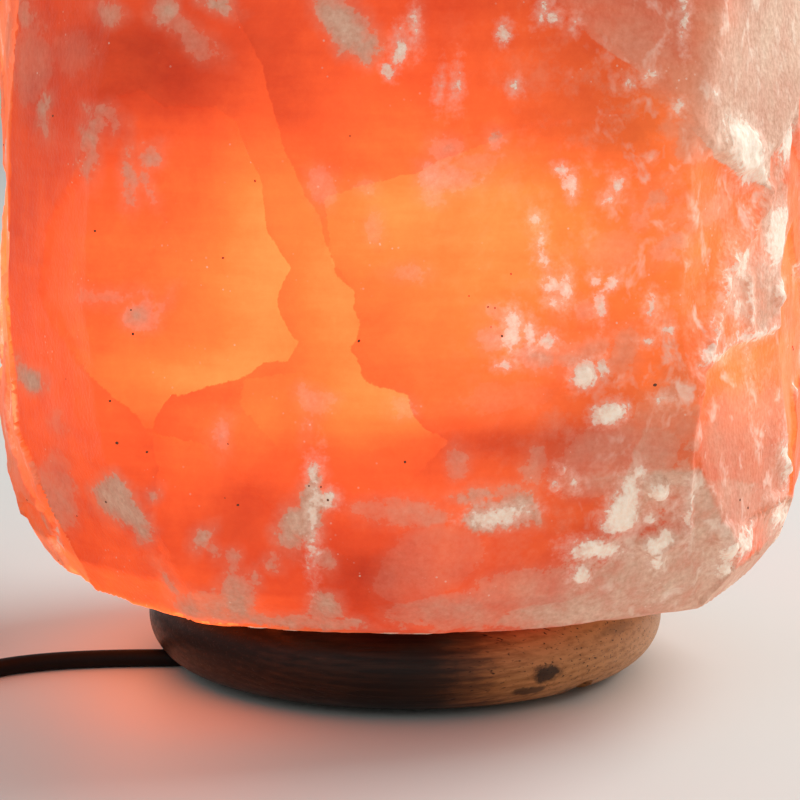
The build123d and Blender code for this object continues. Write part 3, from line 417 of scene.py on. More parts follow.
# Greyish and pinkish veils of frosted salt: across, down, half width, half height, strength, turn.
veil_patches = (
    (26, 16, 9, 17, 0.45, -20), (109, 13, 13, 12, 0.6, 30), (163, 9, 15, 15, 0.75),
    (188, 34, 12, 34, 0.4, -50), (223, 6, 17, 9, 0.95, 12), (46, 112, 6, 22, 0.75),
    (99, 112, 11, 9, 0.6), (88, 134, 9, 22, 0.65, 22), (84, 164, 8, 16, 0.6, -14),
    (108, 127, 6, 11, 0.55), (127, 168, 6, 22, 0.7, -10), (131, 196, 5, 11, 0.65),
    (149, 156, 6, 12, 0.65, 52), (143, 177, 5, 15, 0.55, -18), (30, 62, 22, 44, 0.25),
    (76, 52, 22, 20, 0.15), (102, 297, 28, 7, 0.4), (134, 318, 15, 14, 0.6),
    (154, 315, 12, 4, 0.55, -52), (31, 377, 17, 12, 0.8, 18), (9, 360, 12, 10, 0.5),
    (60, 425, 9, 13, 0.3), (55, 462, 14, 12, 0.3), (220, 434, 10, 18, 0.5), (320, 188, 12, 19, 0.4),
    (363, 188, 9, 8, 0.35), (373, 230, 8, 14, 0.4), (407, 274, 20, 8, 0.4), (313, 402, 16, 13, 0.45),
    (308, 429, 6, 13, 0.45), (400, 404, 14, 10, 0.35, 30), (457, 464, 11, 14, 0.5),
    (429, 178, 15, 14, 0.7), (456, 178, 26, 10, 0.65, 10), (447, 151, 17, 15, 0.45),
    (428, 196, 11, 9, 0.5), (475, 168, 28, 9, 0.35, -8), (414, 28, 8, 20, 0.45, 12),
    (494, 146, 6, 12, 0.75), (490, 312, 9, 6, 0.55), (490, 338, 15, 12, 0.6),
    (534, 356, 24, 16, 0.65, 10), (508, 318, 20, 12, 0.5, 20), (585, 312, 10, 11, 0.5),
    (592, 348, 24, 14, 0.42, -30), (628, 352, 14, 28, 0.38, 22), (566, 356, 26, 16, 0.45),
    (651, 205, 5, 19, 0.6, 32), (720, 205, 5, 15, 0.6, 42), (684, 241, 10, 9, 0.55),
    (676, 256, 13, 5, 0.6, 25), (615, 196, 9, 6, 0.6), (775, 262, 13, 8, 0.65), (700, 60, 70, 60, 0.3),
    (768, 60, 40, 100, 0.75), (700, 140, 26, 24, 0.5), (487, 492, 26, 7, 0.75, -5),
    (532, 466, 12, 15, 0.5), (572, 614, 76, 18, 0.72), (666, 399, 12, 8, 0.55), (697, 440, 8, 12, 0.5),
    (685, 480, 5, 42, 0.55, 4), (748, 446, 46, 62, 0.34), (606, 578, 15, 7, 0.7), (718, 582, 8, 9, 0.7),
    (52, 502, 23, 40, 0.45), (155, 494, 5, 6, 0.7), (204, 541, 6, 9, 0.85, 25),
    (213, 552, 4, 8, 0.6, -25), (235, 560, 6, 6, 0.6), (256, 578, 6, 8, 0.75),
    (168, 588, 5, 17, 0.8, -38), (236, 600, 19, 32, 0.7), (205, 610, 40, 18, 0.6, 12),
    (321, 562, 6, 11, 0.6, -42), (278, 562, 7, 6, 0.6), (322, 606, 20, 18, 0.75),
    (290, 622, 60, 9, 0.8, 4), (412, 513, 50, 14, 0.45, 3), (450, 612, 60, 20, 0.5, -4),
    (520, 590, 60, 20, 0.4, -6), (655, 600, 60, 18, 0.75, -10), (430, 560, 60, 40, 0.22, -30),
    (752, 568, 50, 46, 0.6, -30), (648, 460, 26, 90, 0.5, 24), (668, 560, 50, 30, 0.35),
    (757, 290, 42, 46, 0.7), (778, 222, 28, 44, 0.7), (745, 500, 44, 40, 0.5),
    (655, 205, 9, 26, 0.5, 34), (712, 206, 12, 26, 0.45, 44), (668, 250, 22, 10, 0.5, -35),
    (645, 225, 8, 16, 0.45, 36), (768, 210, 14, 60, 0.55, 14), (600, 460, 60, 34, 0.3, -20),
    (500, 400, 50, 16, 0.15, -10), (770, 470, 26, 90, 0.4), (664, 420, 30, 26, 0.35),
    (628, 440, 40, 22, 0.3), (560, 300, 12, 18, 0.45), (610, 250, 30, 20, 0.25),
)
# Thick white salt: across, down, half width, half height, turn.
white_patches = (
    (399, 48, 5, 14, 10), (388, 73, 5, 5), (415, 28, 3, 10), (458, 83, 2, 8), (443, 87, 2, 7),
    (506, 33, 4, 6), (543, 4, 4, 11, 15), (552, 12, 6, 4, 30), (572, 21, 3, 5), (562, 167, 6, 6),
    (575, 183, 6, 11), (614, 200, 6, 4), (622, 186, 4, 7, 30), (533, 218, 4, 5), (540, 240, 3, 9, 10),
    (543, 257, 3, 8, -25), (512, 84, 6, 7, 35), (552, 284, 6, 9), (566, 290, 6, 15), (555, 303, 7, 5),
    (594, 275, 4, 4), (613, 278, 7, 4, -45), (600, 303, 4, 10), (512, 320, 8, 12), (510, 337, 9, 11),
    (531, 332, 5, 10), (546, 338, 9, 6), (503, 364, 7, 4), (585, 374, 14, 13), (604, 370, 5, 9),
    (611, 412, 18, 12, -10), (617, 512, 16, 24, 22), (628, 492, 9, 18, 10), (595, 550, 24, 9, 5),
    (580, 573, 9, 9), (656, 488, 11, 10), (652, 542, 12, 9, -20), (664, 536, 8, 8),
    (688, 512, 4, 16, -8), (690, 497, 4, 5), (657, 561, 8, 6, 20), (560, 470, 3, 3), (552, 488, 3, 3),
    (573, 482, 3, 5), (737, 150, 17, 36, -14), (754, 176, 7, 14, -20), (778, 236, 12, 30, 8),
    (740, 262, 6, 20, 20), (684, 17, 3, 18), (675, 112, 4, 4), (632, 86, 4, 4), (650, 78, 4, 3),
    (710, 95, 4, 4), (651, 307, 4, 9), (667, 331, 4, 4), (650, 340, 4, 4), (727, 262, 4, 15, 27),
    (718, 292, 3, 19, 10), (713, 325, 3, 19, 8), (706, 353, 4, 11, 22), (734, 309, 2, 11, -6),
    (747, 303, 2, 28, -4), (788, 292, 13, 18), (760, 335, 32, 5, -22), (718, 357, 8, 6, -30),
    (735, 541, 11, 20, 35), (750, 556, 7, 20, 14), (728, 570, 12, 7, -25), (757, 572, 9, 6, -30),
    (788, 465, 6, 36), (774, 506, 5, 8), (664, 400, 5, 3), (332, 501, 8, 7), (315, 520, 3, 26, 4),
    (312, 474, 5, 10), (790, 140, 10, 24, 12), (755, 180, 8, 6), (500, 515, 24, 8, -4),
    (640, 470, 5, 5), (648, 515, 5, 5),
)
# Frosted places with sharp corners.
outline_strength = 0.92
veil_outlines = (
    (
        (300, -40), (311, 0), (316, 15), (330, 32), (343, 52), (362, 60), (368, 63), (374, 54),
        (388, 42), (375, 30), (365, 20), (350, 0), (346, -40),
    ),
    ((457, 520), (475, 505), (500, 495), (533, 490), (538, 518), (525, 523), (500, 527), (470, 533)),
    (
        (90, 490), (103, 478), (115, 475), (125, 483), (135, 500), (145, 515), (149, 530), (147, 543),
        (135, 543), (132, 532), (110, 520), (95, 505),
    ),
    (
        (307, 478), (318, 470), (323, 495), (336, 497), (333, 508), (321, 510), (320, 530), (316, 543),
        (300, 545), (290, 556), (280, 548), (277, 530), (284, 512), (298, 502),
    ),
)
# Lumps of salt: across, down, radius, height in millimetres.
salt_lumps = (
    (656, 488, 13, 3.4), (585, 374, 16, 2.6), (611, 412, 18, 1.8), (737, 150, 24, 2.2),
    (617, 508, 22, 2.2), (652, 541, 15, 2.4), (735, 541, 20, 2.8), (752, 560, 20, 2.8),
    (772, 545, 22, 2.6), (776, 505, 14, 2.2), (788, 292, 18, 2.4), (512, 328, 15, 1.2),
    (595, 550, 18, 1.4), (560, 470, 6, 1.6), (552, 488, 6, 1.4), (788, 465, 10, 1.6),
    (399, 50, 12, 1.0), (566, 290, 12, 1.0), (688, 510, 9, 1.6), (657, 561, 9, 1.4),
    (580, 573, 10, 1.2),
)
# Ridges and fins: their line, half width and height in millimetres (negative for a groove).
salt_ridges = (
    (
        (
            (764, 190), (762, 205), (750, 220), (745, 235), (733, 250), (720, 275), (715, 310),
            (710, 340), (703, 362),
        ),
        7, 2.4,
    ),
    (((698, 380), (692, 425), (690, 470), (687, 500)), 8, 1.6),
    (((150, 430), (154, 480), (149, 530), (152, 600)), 6, -0.9),
    (((745, 275), (748, 330)), 4, 1.0),
    (((640, 545), (660, 552), (690, 525)), 6, 1.4),
    (((457, 533), (525, 526), (600, 536), (638, 520)), 7, 1.3),
)
dark_specks = (
    (53, 116), (66, 379), (117, 443), (147, 452), (228, 444), (110, 401), (255, 181), (223, 258),
    (95, 231), (131, 310), (133, 334), (405, 462), (359, 341), (491, 327), (502, 336), (511, 274),
    (469, 296), (488, 307), (495, 308), (309, 486), (321, 487), (328, 500), (350, 136), (77, 516),
    (225, 498), (106, 502), (238, 505), (655, 385), (740, 500), (748, 508),
)


def new_mesh_from(thing):
    """The mesh that an object shows with its modifiers, as a new mesh."""
    graph = bpy.context.evaluated_depsgraph_get()
    return bpy.data.meshes.new_from_object(thing.evaluated_get(graph))


def numbers_of(mesh, normals=False):
    """A mesh's points, or its normals at them, as rows."""
    values = np.empty(len(mesh.vertices) * 3)
    if normals:
        mesh.vertex_normals.foreach_get("vector", values)
    else:
        mesh.vertices.foreach_get("co", values)
    return values.reshape(-1, 3)


def field(points, scale, octaves=4, shift=0.0):
    """Fractal noise at points, about -1 to 1."""
    offset = Vector((shift, shift * 0.7, -shift * 1.3))
    return np.array([noise.fractal(Vector(p) * scale + offset, 1.0, 2.0, octaves) for p in points])


def line_distance(points, line, closed=False):
    """Distance from points to a line of straight runs. Of a closed line it is negative outside."""
    corners = np.array(line, float)
    ends = np.roll(corners, -1, axis=0) if closed else corners[1:]
    nearest = np.full(len(points), 1e9)
    inside = np.zeros(len(points), bool)
    for start, end in zip(corners, ends):
        run = end - start
        share = np.clip((points - start) @ run / (run @ run), 0.0, 1.0)
        nearest = np.minimum(nearest, np.linalg.norm(points - start - share[:, None] * run, axis=1))
        crossed = (start[1] > points[:, 1]) != (end[1] > points[:, 1])
        if start[1] != end[1]:
            inside ^= crossed & (points[:, 0] < start[0] + (points[:, 1] - start[1]) * run[0] / run[1])
    return np.where(inside, nearest, -nearest) if closed else nearest


def spots(points, places):
    """The sum of soft round spots."""
    total = np.zeros(len(points))
    for across, down, half_width, half_height, amount in places:
        away = ((points[:, 0] - across) / half_width) ** 2 + ((points[:, 1] - down) / half_height) ** 2
        total += amount * np.exp(-0.7 * away)
    return total


def take_higher(depth, carried, level, value):
    """Where a level lies higher than the depth so far, the level and its value take over."""
    higher = level > depth
    return np.where(higher, level, depth), np.where(higher, value, carried)


def patches(points, places, strong=None):
    """How deep in a patch each point is, in pixels (negative outside), and that patch's strength."""
    depth = np.full(len(points), -60.0)
    strength = np.zeros(len(points))
    for across, down, half_width, half_height, *rest in places:
        amount = rest.pop(0) if strong is None else strong
        turn = rest[0] if rest else 0
        cosine, sine = math.cos(math.radians(turn)), math.sin(math.radians(turn))
        right, low = points[:, 0] - across, points[:, 1] - down
        along = (right * cosine + low * sine) / half_width
        over = (low * cosine - right * sine) / half_height
        level = (1.0 - np.hypot(along, over)) * min(half_width, half_height) * 1.25
        depth, strength = take_higher(depth, strength, level, amount)
    return depth, strength


def facing_of(points, normals):
    """How squarely surfaces face the camera: 1 straight towards it, 0 edge on."""
    to_camera = np.array(camera_place) - points
    to_camera /= np.linalg.norm(to_camera, axis=1)[:, None]
    return np.sum(normals * to_camera, axis=1)


def blend_in(first, second, share):
    return first + (second - first) * share


salt_mesh = frame["nodes"]["salt_block"].data.copy()
salt_block = add_object("salt_crystal", salt_mesh)
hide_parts("salt_block")
remesh = salt_block.modifiers.new("even_cells", "REMESH")
remesh.mode = "VOXEL"
remesh.voxel_size = salt_cell
salt_mesh = new_mesh_from(salt_block)
salt_block.modifiers.clear()
salt_block.data = salt_mesh

# The side that the photograph shows gets cells half as large.
places = numbers_of(salt_mesh)
facing = facing_of(places, numbers_of(salt_mesh, normals=True))
near = (facing > fine_facing) & (to_picture(places)[:, 1] > fine_above_frame) & (places[:, 1] < 0.0)
near &= np.hypot(*places[:, :2].T) > bore_wall
shape = bmesh.new()
shape.from_mesh(salt_mesh)
shape.verts.ensure_lookup_table()
cut = [edge for edge in shape.edges if near[edge.verts[0].index] and near[edge.verts[1].index]]
bmesh.ops.subdivide_edges(shape, edges=cut, cuts=1, use_grid_fill=True)
bmesh.ops.triangulate(shape, faces=[face for face in shape.faces if len(face.verts) > 4])
shape.to_mesh(salt_mesh)
shape.free()

places = numbers_of(salt_mesh)
normals = numbers_of(salt_mesh, normals=True)
seen = to_picture(places)
# 1 where the marks follow the photograph, 0 where they are laid out by chance.
drawn = smooth_step(0.16, 0.34, facing_of(places, normals)) * smooth_step(-60.0, -12.0, seen[:, 1])
drawn *= smooth_step(0.02, -0.02, places[:, 1])

broad = field(places, 14.0, 3, 3.1)
middle = field(places, 48.0, 4, 7.7)
fine = field(places, 190.0, 3, 1.9)

# The same kinds of marks round the rest of the block, laid out by chance, in pixels.
unrolled_columns, unrolled_rows = (-1150, 1150), (-1090, -120)
flake_radii = (70, 190)
corner_counts = (5, 9)
chance = np.random.default_rng(41)
turned = np.arctan2(places[:, 0], places[:, 1])
unrolled = np.stack((turned * block_radius, -places[:, 2]), axis=1) * unrolled_scale
wander = np.stack((middle, field(places, 48.0, 3, 22.0)), axis=1) * 26.0


def random_outline():
    """A broken-off flake somewhere on the block's unrolled sides."""
    middle_place = np.array((chance.uniform(*unrolled_columns), chance.uniform(*unrolled_rows)))
    count = int(chance.integers(*corner_counts))
    angles = np.sort(chance.uniform(0, 2 * math.pi, count))
    radii = chance.uniform(*flake_radii, count)
    return middle_place + np.stack((np.cos(angles) * radii, np.sin(angles) * radii), axis=1)


def random_flakes(count):
    """The distances into random flakes, and their glow."""
    depth = np.full(len(places), -200.0)
    lift = np.zeros(len(places))
    for _ in range(count):
        outline = random_outline()
        amount = chance.uniform(0.08, 0.26)
        level = line_distance(unrolled + wander, outline, closed=True)
        depth, lift = take_higher(depth, lift, level, amount)
    return depth, lift * np.exp(-np.abs(depth) / 130.0)


def flakes(outlines, lifts, count):
    """The distances into a family of flakes and the glow they add, drawn in front, random elsewhere."""
    depth = np.max([line_distance(seen, outline, closed=True) for outline in outlines], axis=0)
    behind, lift = random_flakes(count)
    return blend_in(behind, depth, drawn), blend_in(lift, spots(seen, lifts), drawn)


skin_values = {}
for family, outlines, lifts, count, _ in flake_families:
    skin_values[family + "_depth"], skin_values[family + "_lift"] = flakes(outlines, lifts, count)
slab_depth, _ = flakes((raised_slab,), (), 7)

veil_depth, veil_strength = patches(seen + wander * 0.3, veil_patches)
for outline in veil_outlines:
    level = line_distance(seen, outline, closed=True)
    veil_depth, veil_strength = take_higher(veil_depth, veil_strength, level, outline_strength)
white_depth, _ = patches(seen + wander * 0.25, white_patches, 1.0)
cloud = field(places, 27.0, 5, 13.0)
veil_depth = blend_in(cloud * 42.0 - 9.0, veil_depth, drawn)
random_strength = np.clip(0.5 + 0.6 * field(places, 12.0, 2, 31.0), 0.2, 0.9)
veil_strength = blend_in(random_strength, veil_strength, drawn)
white_depth = blend_in(field(places, 60.0, 4, 17.0) * 26.0 - 15.0, white_depth, drawn)
# The underside's right part is frosted all over.
under_right = smooth_step(-0.08, -0.4, normals[:, 2]) * smooth_step(0.02, 0.07, places[:, 0])
veil_depth = blend_in(veil_depth, 14.0, under_right)
veil_strength = blend_in(veil_strength, 0.85, under_right)

# Painted glow: the salt's emission stands in for the bulb's light coming through it, brightest round
# the bulb.
level = (places[:, 2] - glow_height) / glow_reach
inner_glow = 0.22 + 0.42 * np.exp(-(level**2))
inner_glow = blend_in(inner_glow + 0.1 * broad, 0.3 + spots(seen, glow_spots), drawn)
# Under its left part the salt is thin and glows more, under its right part less.
under = smooth_step(-0.35, -0.8, normals[:, 2])
inner_glow += 0.46 * under * smooth_step(-0.02, -0.07, places[:, 0])
inner_glow -= 0.25 * under * smooth_step(-0.03, 0.02, places[:, 0])
# In front the block is painted paler towards its right, partly frost and partly painted light where the
# key light falls; elsewhere this varies by chance.
pale = blend_in(0.45 + 0.5 * broad, smooth_step(380.0, 700.0, seen[:, 0]), drawn)

# Relief in millimetres: the hewn surface, the flakes' steps, the slab's thickness, lumps and ridges.
skin = (np.hypot(places[:, 0], places[:, 1]) > bore_wall) | (places[:, 2] > bore_top)
skin &= places[:, 2] > block_foot + 0.0015
relief = 0.15 + broad_relief * broad + middle_relief * middle + fine_relief * fine
for family, _, _, _, drop in flake_families:
    depth = skin_values[family + "_depth"]
    relief -= drop * smooth_step(-2.0, 5.0, depth + 3.0 * fine) * np.exp(-np.abs(depth) / 90.0)
slab_fade = np.exp(-np.maximum(slab_depth, 0.0) / 260.0)
relief += slab_lift * smooth_step(-3.0, 7.0, slab_depth + 3.0 * fine) * slab_fade
white_crust = 0.4 * smooth_step(-3.0, 9.0, white_depth + 4.0 * fine)
relief += white_crust + 0.25 * smooth_step(-6.0, 6.0, veil_depth)
for across, down, radius, tall in salt_lumps:
    away = np.hypot(seen[:, 0] - across, seen[:, 1] - down) / radius
    relief += drawn * tall * np.clip(1.0 - away**2, 0.0, 1.0) ** 0.7 * (0.85 + 0.35 * fine)
for line, half_width, tall in salt_ridges:
    away = line_distance(seen, line) / half_width
    relief += drawn * tall * np.exp(-(away**2)) * (1.0 + 0.5 * fine)
relief = np.where(skin, relief, 0.0) / 1000.0
places += normals * relief[:, None]
block_low, block_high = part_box("salt_block")
places = np.clip(places, np.array(block_low), np.array(block_high))
salt_mesh.vertices.foreach_set("co", places.ravel())
salt_mesh.update()
smoothed(salt_mesh)
skin_values.update(
    glow_level=inner_glow,
    slab_depth=slab_depth,
    veil_depth=veil_depth,
    veil_strength=veil_strength,
    white_depth=white_depth,
    pale=np.clip(pale, 0.0, 1.0),
    # The slab is painted paler towards its right, partly frost and partly painted key light.
    slab_pale=drawn * 0.7 * smooth_step(690.0, 770.0, seen[:, 0] + 0.2 * seen[:, 1]),
)
for name, values in skin_values.items():
    salt_mesh.attributes.new(name, "FLOAT", "POINT").data.foreach_set("value", values)

salt = Nodes("salt")
coarse_break = salt.minus(salt.noise(150.0, 3.0, 0.6), 0.5)
fine_break = salt.minus(salt.noise(620.0, 4.0, 0.65), 0.5)


def ragged(depth, coarse, fine_share, soft):
    """From 0 to 1 over an edge at depth 0, broken up by noise. All are in pixels."""
    moved = salt.plus(depth, salt.times(coarse_break, coarse))
    moved = salt.plus(moved, salt.times(fine_break, fine_share))
    return salt.range(moved, -soft, soft, smooth=True)


streaks = salt.noise(1.0, 5.0, 0.62, 0.15, salt.coordinates((16.0, 16.0, 190.0), (0.05, 0.12, 0.0)))
clouds = salt.noise(26.0, 6.0, 0.62, 0.3)
mottle = salt.noise(95.0, 6.0, 0.66)
glow_total = salt.attribute("glow_level")
for family, coarse, small in (("flake", 7.0, 6.0), ("break", 7.0, 6.0), ("ledge", 9.0, 8.0)):
    inside = ragged(salt.attribute(family + "_depth"), coarse, small, 0.9)
    glow_total = salt.plus(glow_total, salt.times(inside, salt.attribute(family + "_lift")))
for pattern, amount in ((clouds, 0.3), (streaks, 0.16), (mottle, 0.15)):
    glow_total = salt.plus(glow_total, salt.times(salt.minus(pattern, 0.5), amount))
glow_total = salt.plus(glow_total, salt.times(fine_break, 0.07))
glow = salt.ramp(
    glow_total,
    (0.0, (0.1, 0.0062, 0.0022)),
    (0.25, (0.2, 0.017, 0.0048)),
    (0.5, (0.345, 0.041, 0.009)),
    (0.75, (0.76, 0.082, 0.016)),
    (1.0, (1.0, 0.142, 0.034)),
)
# Where the block is paler, partly frost and partly painted light where the key light falls, the light
# that comes through is less red.
less_red = salt.mix(1.0, glow, (0.52, 1.0, 1.0), "MULTIPLY")
pale_and_lit_share = salt.attribute("pale")
glow = salt.mix(salt.times(pale_and_lit_share, 0.9), glow, less_red)
slab = ragged(salt.attribute("slab_depth"), 5.0, 4.0, 1.2)
veil_edge = salt.attribute("veil_depth")
veil_level = salt.plus(veil_edge, salt.times(coarse_break, 26.0))
veil = ragged(veil_edge, 30.0, 22.0, 2.2)
veil = salt.times(veil, salt.range(veil_level, -3.0, 15.0, 0.55, 1.15))
veil = salt.larger(veil, salt.range(veil_level, -16.0, 14.0, 0.0, 0.55, smooth=True))
veil = salt.times(veil, salt.attribute("veil_strength"))
veil = salt.times(veil, salt.range(mottle, 0.3, 0.62, 0.55, 1.0))
haze = salt.times(pale_and_lit_share, salt.range(mottle, 0.5, 0.66, 0.0, 0.3))
slab_cover = salt.plus(salt.range(clouds, 0.38, 0.62, 0.0, 0.38), salt.attribute("slab_pale"))
haze = salt.larger(haze, salt.times(slab, slab_cover))
frost = salt.larger(veil, haze)
white_edge = salt.attribute("white_depth")
white = ragged(white_edge, 22.0, 20.0, 2.0)
white_level = salt.plus(white_edge, salt.times(fine_break, 22.0))
white = salt.times(white, salt.range(white_level, -3.0, 9.0, 0.5, 1.0))
white = salt.larger(white, salt.range(white_level, -12.0, 8.0, 0.0, 0.45, smooth=True))
dashes = salt.noise(1.0, 3.0, 0.6, 0.4, salt.coordinates((150.0, 150.0, 120.0), (0.0, -0.7, 0.0)))
dashes = salt.times(salt.range(dashes, 0.56, 0.7), salt.range(pale_and_lit_share, 0.55, 1.0))
# Painted glints: tiny white dots of painted highlight, mixed into the white salt's colour.
painted_glints = salt.range(salt.cells(420.0), 0.16, 0.1)
painted_glints = salt.times(painted_glints, salt.range(salt.noise(60.0, 2.0), 0.57, 0.66))
white = salt.larger(white, salt.larger(salt.times(dashes, 0.5), salt.times(painted_glints, 0.5)))
grainy = salt.range(fine_break, -0.2, 0.2)
clean_salt = salt.mix(salt.range(clouds, 0.35, 0.65), (0.46, 0.036, 0.01), (0.58, 0.075, 0.02))
frosted_salt = salt.mix(grainy, (0.58, 0.42, 0.31), (0.82, 0.65, 0.51))
white_salt = salt.mix(grainy, (0.86, 0.72, 0.6), (0.94, 0.88, 0.8))
glow_strength = 2.6
frost_glow = (0.062, 0.022, 0.011)
white_glow = (0.1, 0.068, 0.044)
# Thick frost hides the light inside, less so where the salt glows most.
covered = salt.larger(salt.range(frost, 0.0, 0.72, 0.0, 0.9), salt.range(white, 0.0, 0.8, 0.0, 0.93))
salt.set(
    Base_Color=salt.mix(white, salt.mix(frost, clean_salt, frosted_salt), white_salt),
    Emission_Color=salt.mix(
        salt.times(covered, salt.range(glow_total, 0.55, 0.92, 1.0, 0.42)),
        glow,
        salt.mix(white, frost_glow, white_glow),
    ),
    Emission_Strength=glow_strength,
    Specular_IOR_Level=0.18,
    Roughness=salt.plus(salt.range(mottle, 0.3, 0.7, 0.36, 0.56), salt.times(frost, 0.3), clamp=True),
)
grains = salt.plus(salt.noise(240.0, 6.0, 0.62), salt.times(salt.cells(700.0), 0.35))
grains = salt.plus(grains, salt.times(white, 0.5))
grain_depth = 0.00042
salt.bump(grains, grain_depth)
salt_mesh.materials.clear()
salt_mesh.materials.append(salt.material)

# Grains of darker mineral in the salt.
random_grains = 90  # on the sides that the photograph doesn't show
outer_radius = 0.07
smallest_grain, largest_grain = 0.0002, 0.00052
surface = bvhtree.BVHTree.FromPolygons(
    [Vector(place) for place in places], [tuple(polygon.vertices) for polygon in salt_mesh.polygons]
)


def scatter(name, spots_on, sizes, squash, material):
    """Small grains set half deep in the block's surface, as one piece."""
    shape = bmesh.new()
    for (place, normal), size in zip(spots_on, sizes):
        turn = normal.to_track_quat("Z", "Y").to_matrix().to_4x4()
        spin = Euler(chance.uniform(0, 0.3, 3).tolist()).to_matrix().to_4x4()
        stretch = Matrix.Diagonal((chance.uniform(0.7, 1.4), 1.0, squash, 1.0))
        matrix = Matrix.Translation(place) @ turn @ spin @ stretch
        bmesh.ops.create_icosphere(shape, subdivisions=1, radius=size, matrix=matrix)
    add_object(name, mesh_of(shape, name, material))


def hit_from_camera(across, down):
    """The place on the block that shows at a pixel of the photograph, and its normal."""
    right, low = (across - picture / 2) / focal_px, (picture / 2 - down) / focal_px
    ray = sight + Vector((right, 0.0, 0.0)) + upward * low
    place, normal, _, _ = surface.ray_cast(camera_place, ray.normalized())
    return (place, normal) if place else None


mineral = Nodes("mineral")
mineral.set(
    Base_Color=mineral.mix(mineral.noise(900.0, 3.0), (0.11, 0.032, 0.014), (0.24, 0.08, 0.034)),
    Roughness=mineral.range(mineral.noise(1500.0, 2.0), 0.3, 0.7, 0.45, 0.75),
)
mineral.bump(mineral.noise(2500.0, 3.0), 0.00012)
points = [hit_from_camera(*speck) for speck in dark_specks]
points = [point for point in points if point]
outer = np.flatnonzero(skin & (np.hypot(places[:, 0], places[:, 1]) > outer_radius) & (drawn < 0.5))
for index in chance.choice(outer, random_grains, replace=False):
    points.append((Vector(places[index]), Vector(normals[index])))
sizes = chance.uniform(smallest_grain, largest_grain, len(points))
scatter("mineral_grains", points, sizes, 0.5, mineral.material)


# ---- the other materials
def moulded(name, colour, rough, grain=1500.0, depth=0.00003, spread=0.3):
    """Moulded plastic, rubber or ceramic: a fine grain, slightly cloudy and polished in patches."""
    look = Nodes(name)
    cloud, grit = look.noise(45.0, 5.0), look.noise(grain, 3.0)
    dark = tuple(part * (1.0 - spread) for part in colour)
    light = tuple(min(part * (1.0 + spread) + 0.002, 1.0) for part in colour)
    look.set(
        Base_Color=look.mix(look.range(cloud, 0.35, 0.65), dark, light),
        Roughness=look.plus(
            look.range(grit, 0.3, 0.7, rough - 0.07, rough + 0.07),
            look.range(cloud, 0.5, 0.7, 0.0, -0.06),
        ),
    )
    look.bump(grit, depth)
    return look


def metal(name, colour, rough, along=(1.0, 1.0, 1.0), tarnish=0.45):
    """Metal with drawing or turning marks, and a duller, darker tarnish in patches."""
    look = Nodes(name)
    marks = look.noise(1700.0, 3.0, vector=look.coordinates(along))
    patchy = look.noise(120.0, 5.0, 0.6)
    dull = tuple(part * tarnish for part in colour)
    look.set(
        Base_Color=look.mix(look.range(patchy, 0.48, 0.75), colour, dull),
        Metallic=1.0,
        Roughness=look.plus(
            look.range(marks, 0.3, 0.7, rough - 0.08, rough + 0.08),
            look.range(patchy, 0.45, 0.75, 0.0, 0.16),
        ),
    )
    look.bump(marks, 0.000015)


turned_marks = (1.0, 1.0, 14.0)
long_marks = (1.0, 0.1, 1.0)
# Colour, roughness, grain, depth of the grain, spread of the colour.
moulded_looks = {
    "rubber_black": ((0.022, 0.021, 0.02), 0.78, 900.0, 0.00006),
    "nylon_grey": ((0.34, 0.34, 0.32), 0.55, 1500.0, 0.00003, 0.1),
    "phenolic_black": ((0.017, 0.015, 0.014), 0.24, 2200.0, 0.00001),
    "steatite": ((0.76, 0.73, 0.65), 0.62, 2400.0, 0.00004, 0.08),
    "black_glass": ((0.012, 0.01, 0.014), 0.08, 500.0, 0.00001),
    "core_brown": ((0.13, 0.055, 0.025), 0.48, 1500.0, 0.00003, 0.15),
    "nylon_black": ((0.02, 0.02, 0.021), 0.52),
    "case_black": ((0.02, 0.02, 0.021), 0.42, 1300.0, 0.00007),
    "nylon_white": ((0.72, 0.71, 0.66), 0.5, 1500.0, 0.00003, 0.06),
    "knob_black": ((0.026, 0.026, 0.027), 0.36, 1700.0, 0.00003),
    "chip_black": ((0.024, 0.024, 0.025), 0.7, 1900.0, 0.00005),
    "capacitor_red": ((0.36, 0.03, 0.016), 0.22, 700.0, 0.00004, 0.15),
    "plug_black": ((0.021, 0.02, 0.02), 0.46, 1400.0, 0.00005),
    "sleeve_grey": ((0.045, 0.045, 0.046), 0.5),
}
# Colour, roughness, direction of the marks, tarnish.
metal_looks = {
    "zinc_steel": ((0.6, 0.62, 0.64), 0.3),
    "sheet_steel": ((0.52, 0.53, 0.54), 0.36, turned_marks),
    "brass": ((0.72, 0.5, 0.2), 0.28, turned_marks),
    "solder": ((0.5, 0.5, 0.48), 0.35),
    "bulb_cap_metal": ((0.74, 0.7, 0.6), 0.26, turned_marks),
    "lead_wire": ((0.6, 0.57, 0.52), 0.32, turned_marks),
    "pot_metal": ((0.48, 0.49, 0.51), 0.38),
    "choke_copper": ((0.62, 0.24, 0.11), 0.25, turned_marks),
    "pin_nickel": ((0.72, 0.71, 0.68), 0.16, long_marks, 0.7),
}
for name, values in moulded_looks.items():
    moulded(name, *values)
for name, values in metal_looks.items():
    metal(name, *values)

# The printed board: green lacquer over copper tracks.
board = Nodes("board_green")
tracks = board.range(board.cells(260.0, "DISTANCE_TO_EDGE"), 0.06, 0.1)
board.set(
    Base_Color=board.mix(tracks, (0.012, 0.075, 0.032), (0.03, 0.17, 0.07)),
    Roughness=board.range(board.noise(800.0), 0.3, 0.7, 0.24, 0.38),
)
board.bump(tracks, 0.00004)

# Clear blown glass, with the slight waves of its making.
glass = Nodes("clear_glass")
waves = glass.noise(70.0, 3.0)
glass.set(
    Base_Color=(0.99, 0.975, 0.94, 1.0),
    Transmission_Weight=1.0,
    IOR=1.47,
    Roughness=glass.range(waves, 0.4, 0.7, 0.0, 0.03),
    Emission_Color=(1.0, 0.52, 0.18, 1.0),
    Emission_Strength=0.12,
)
glass.bump(waves, 0.00025)

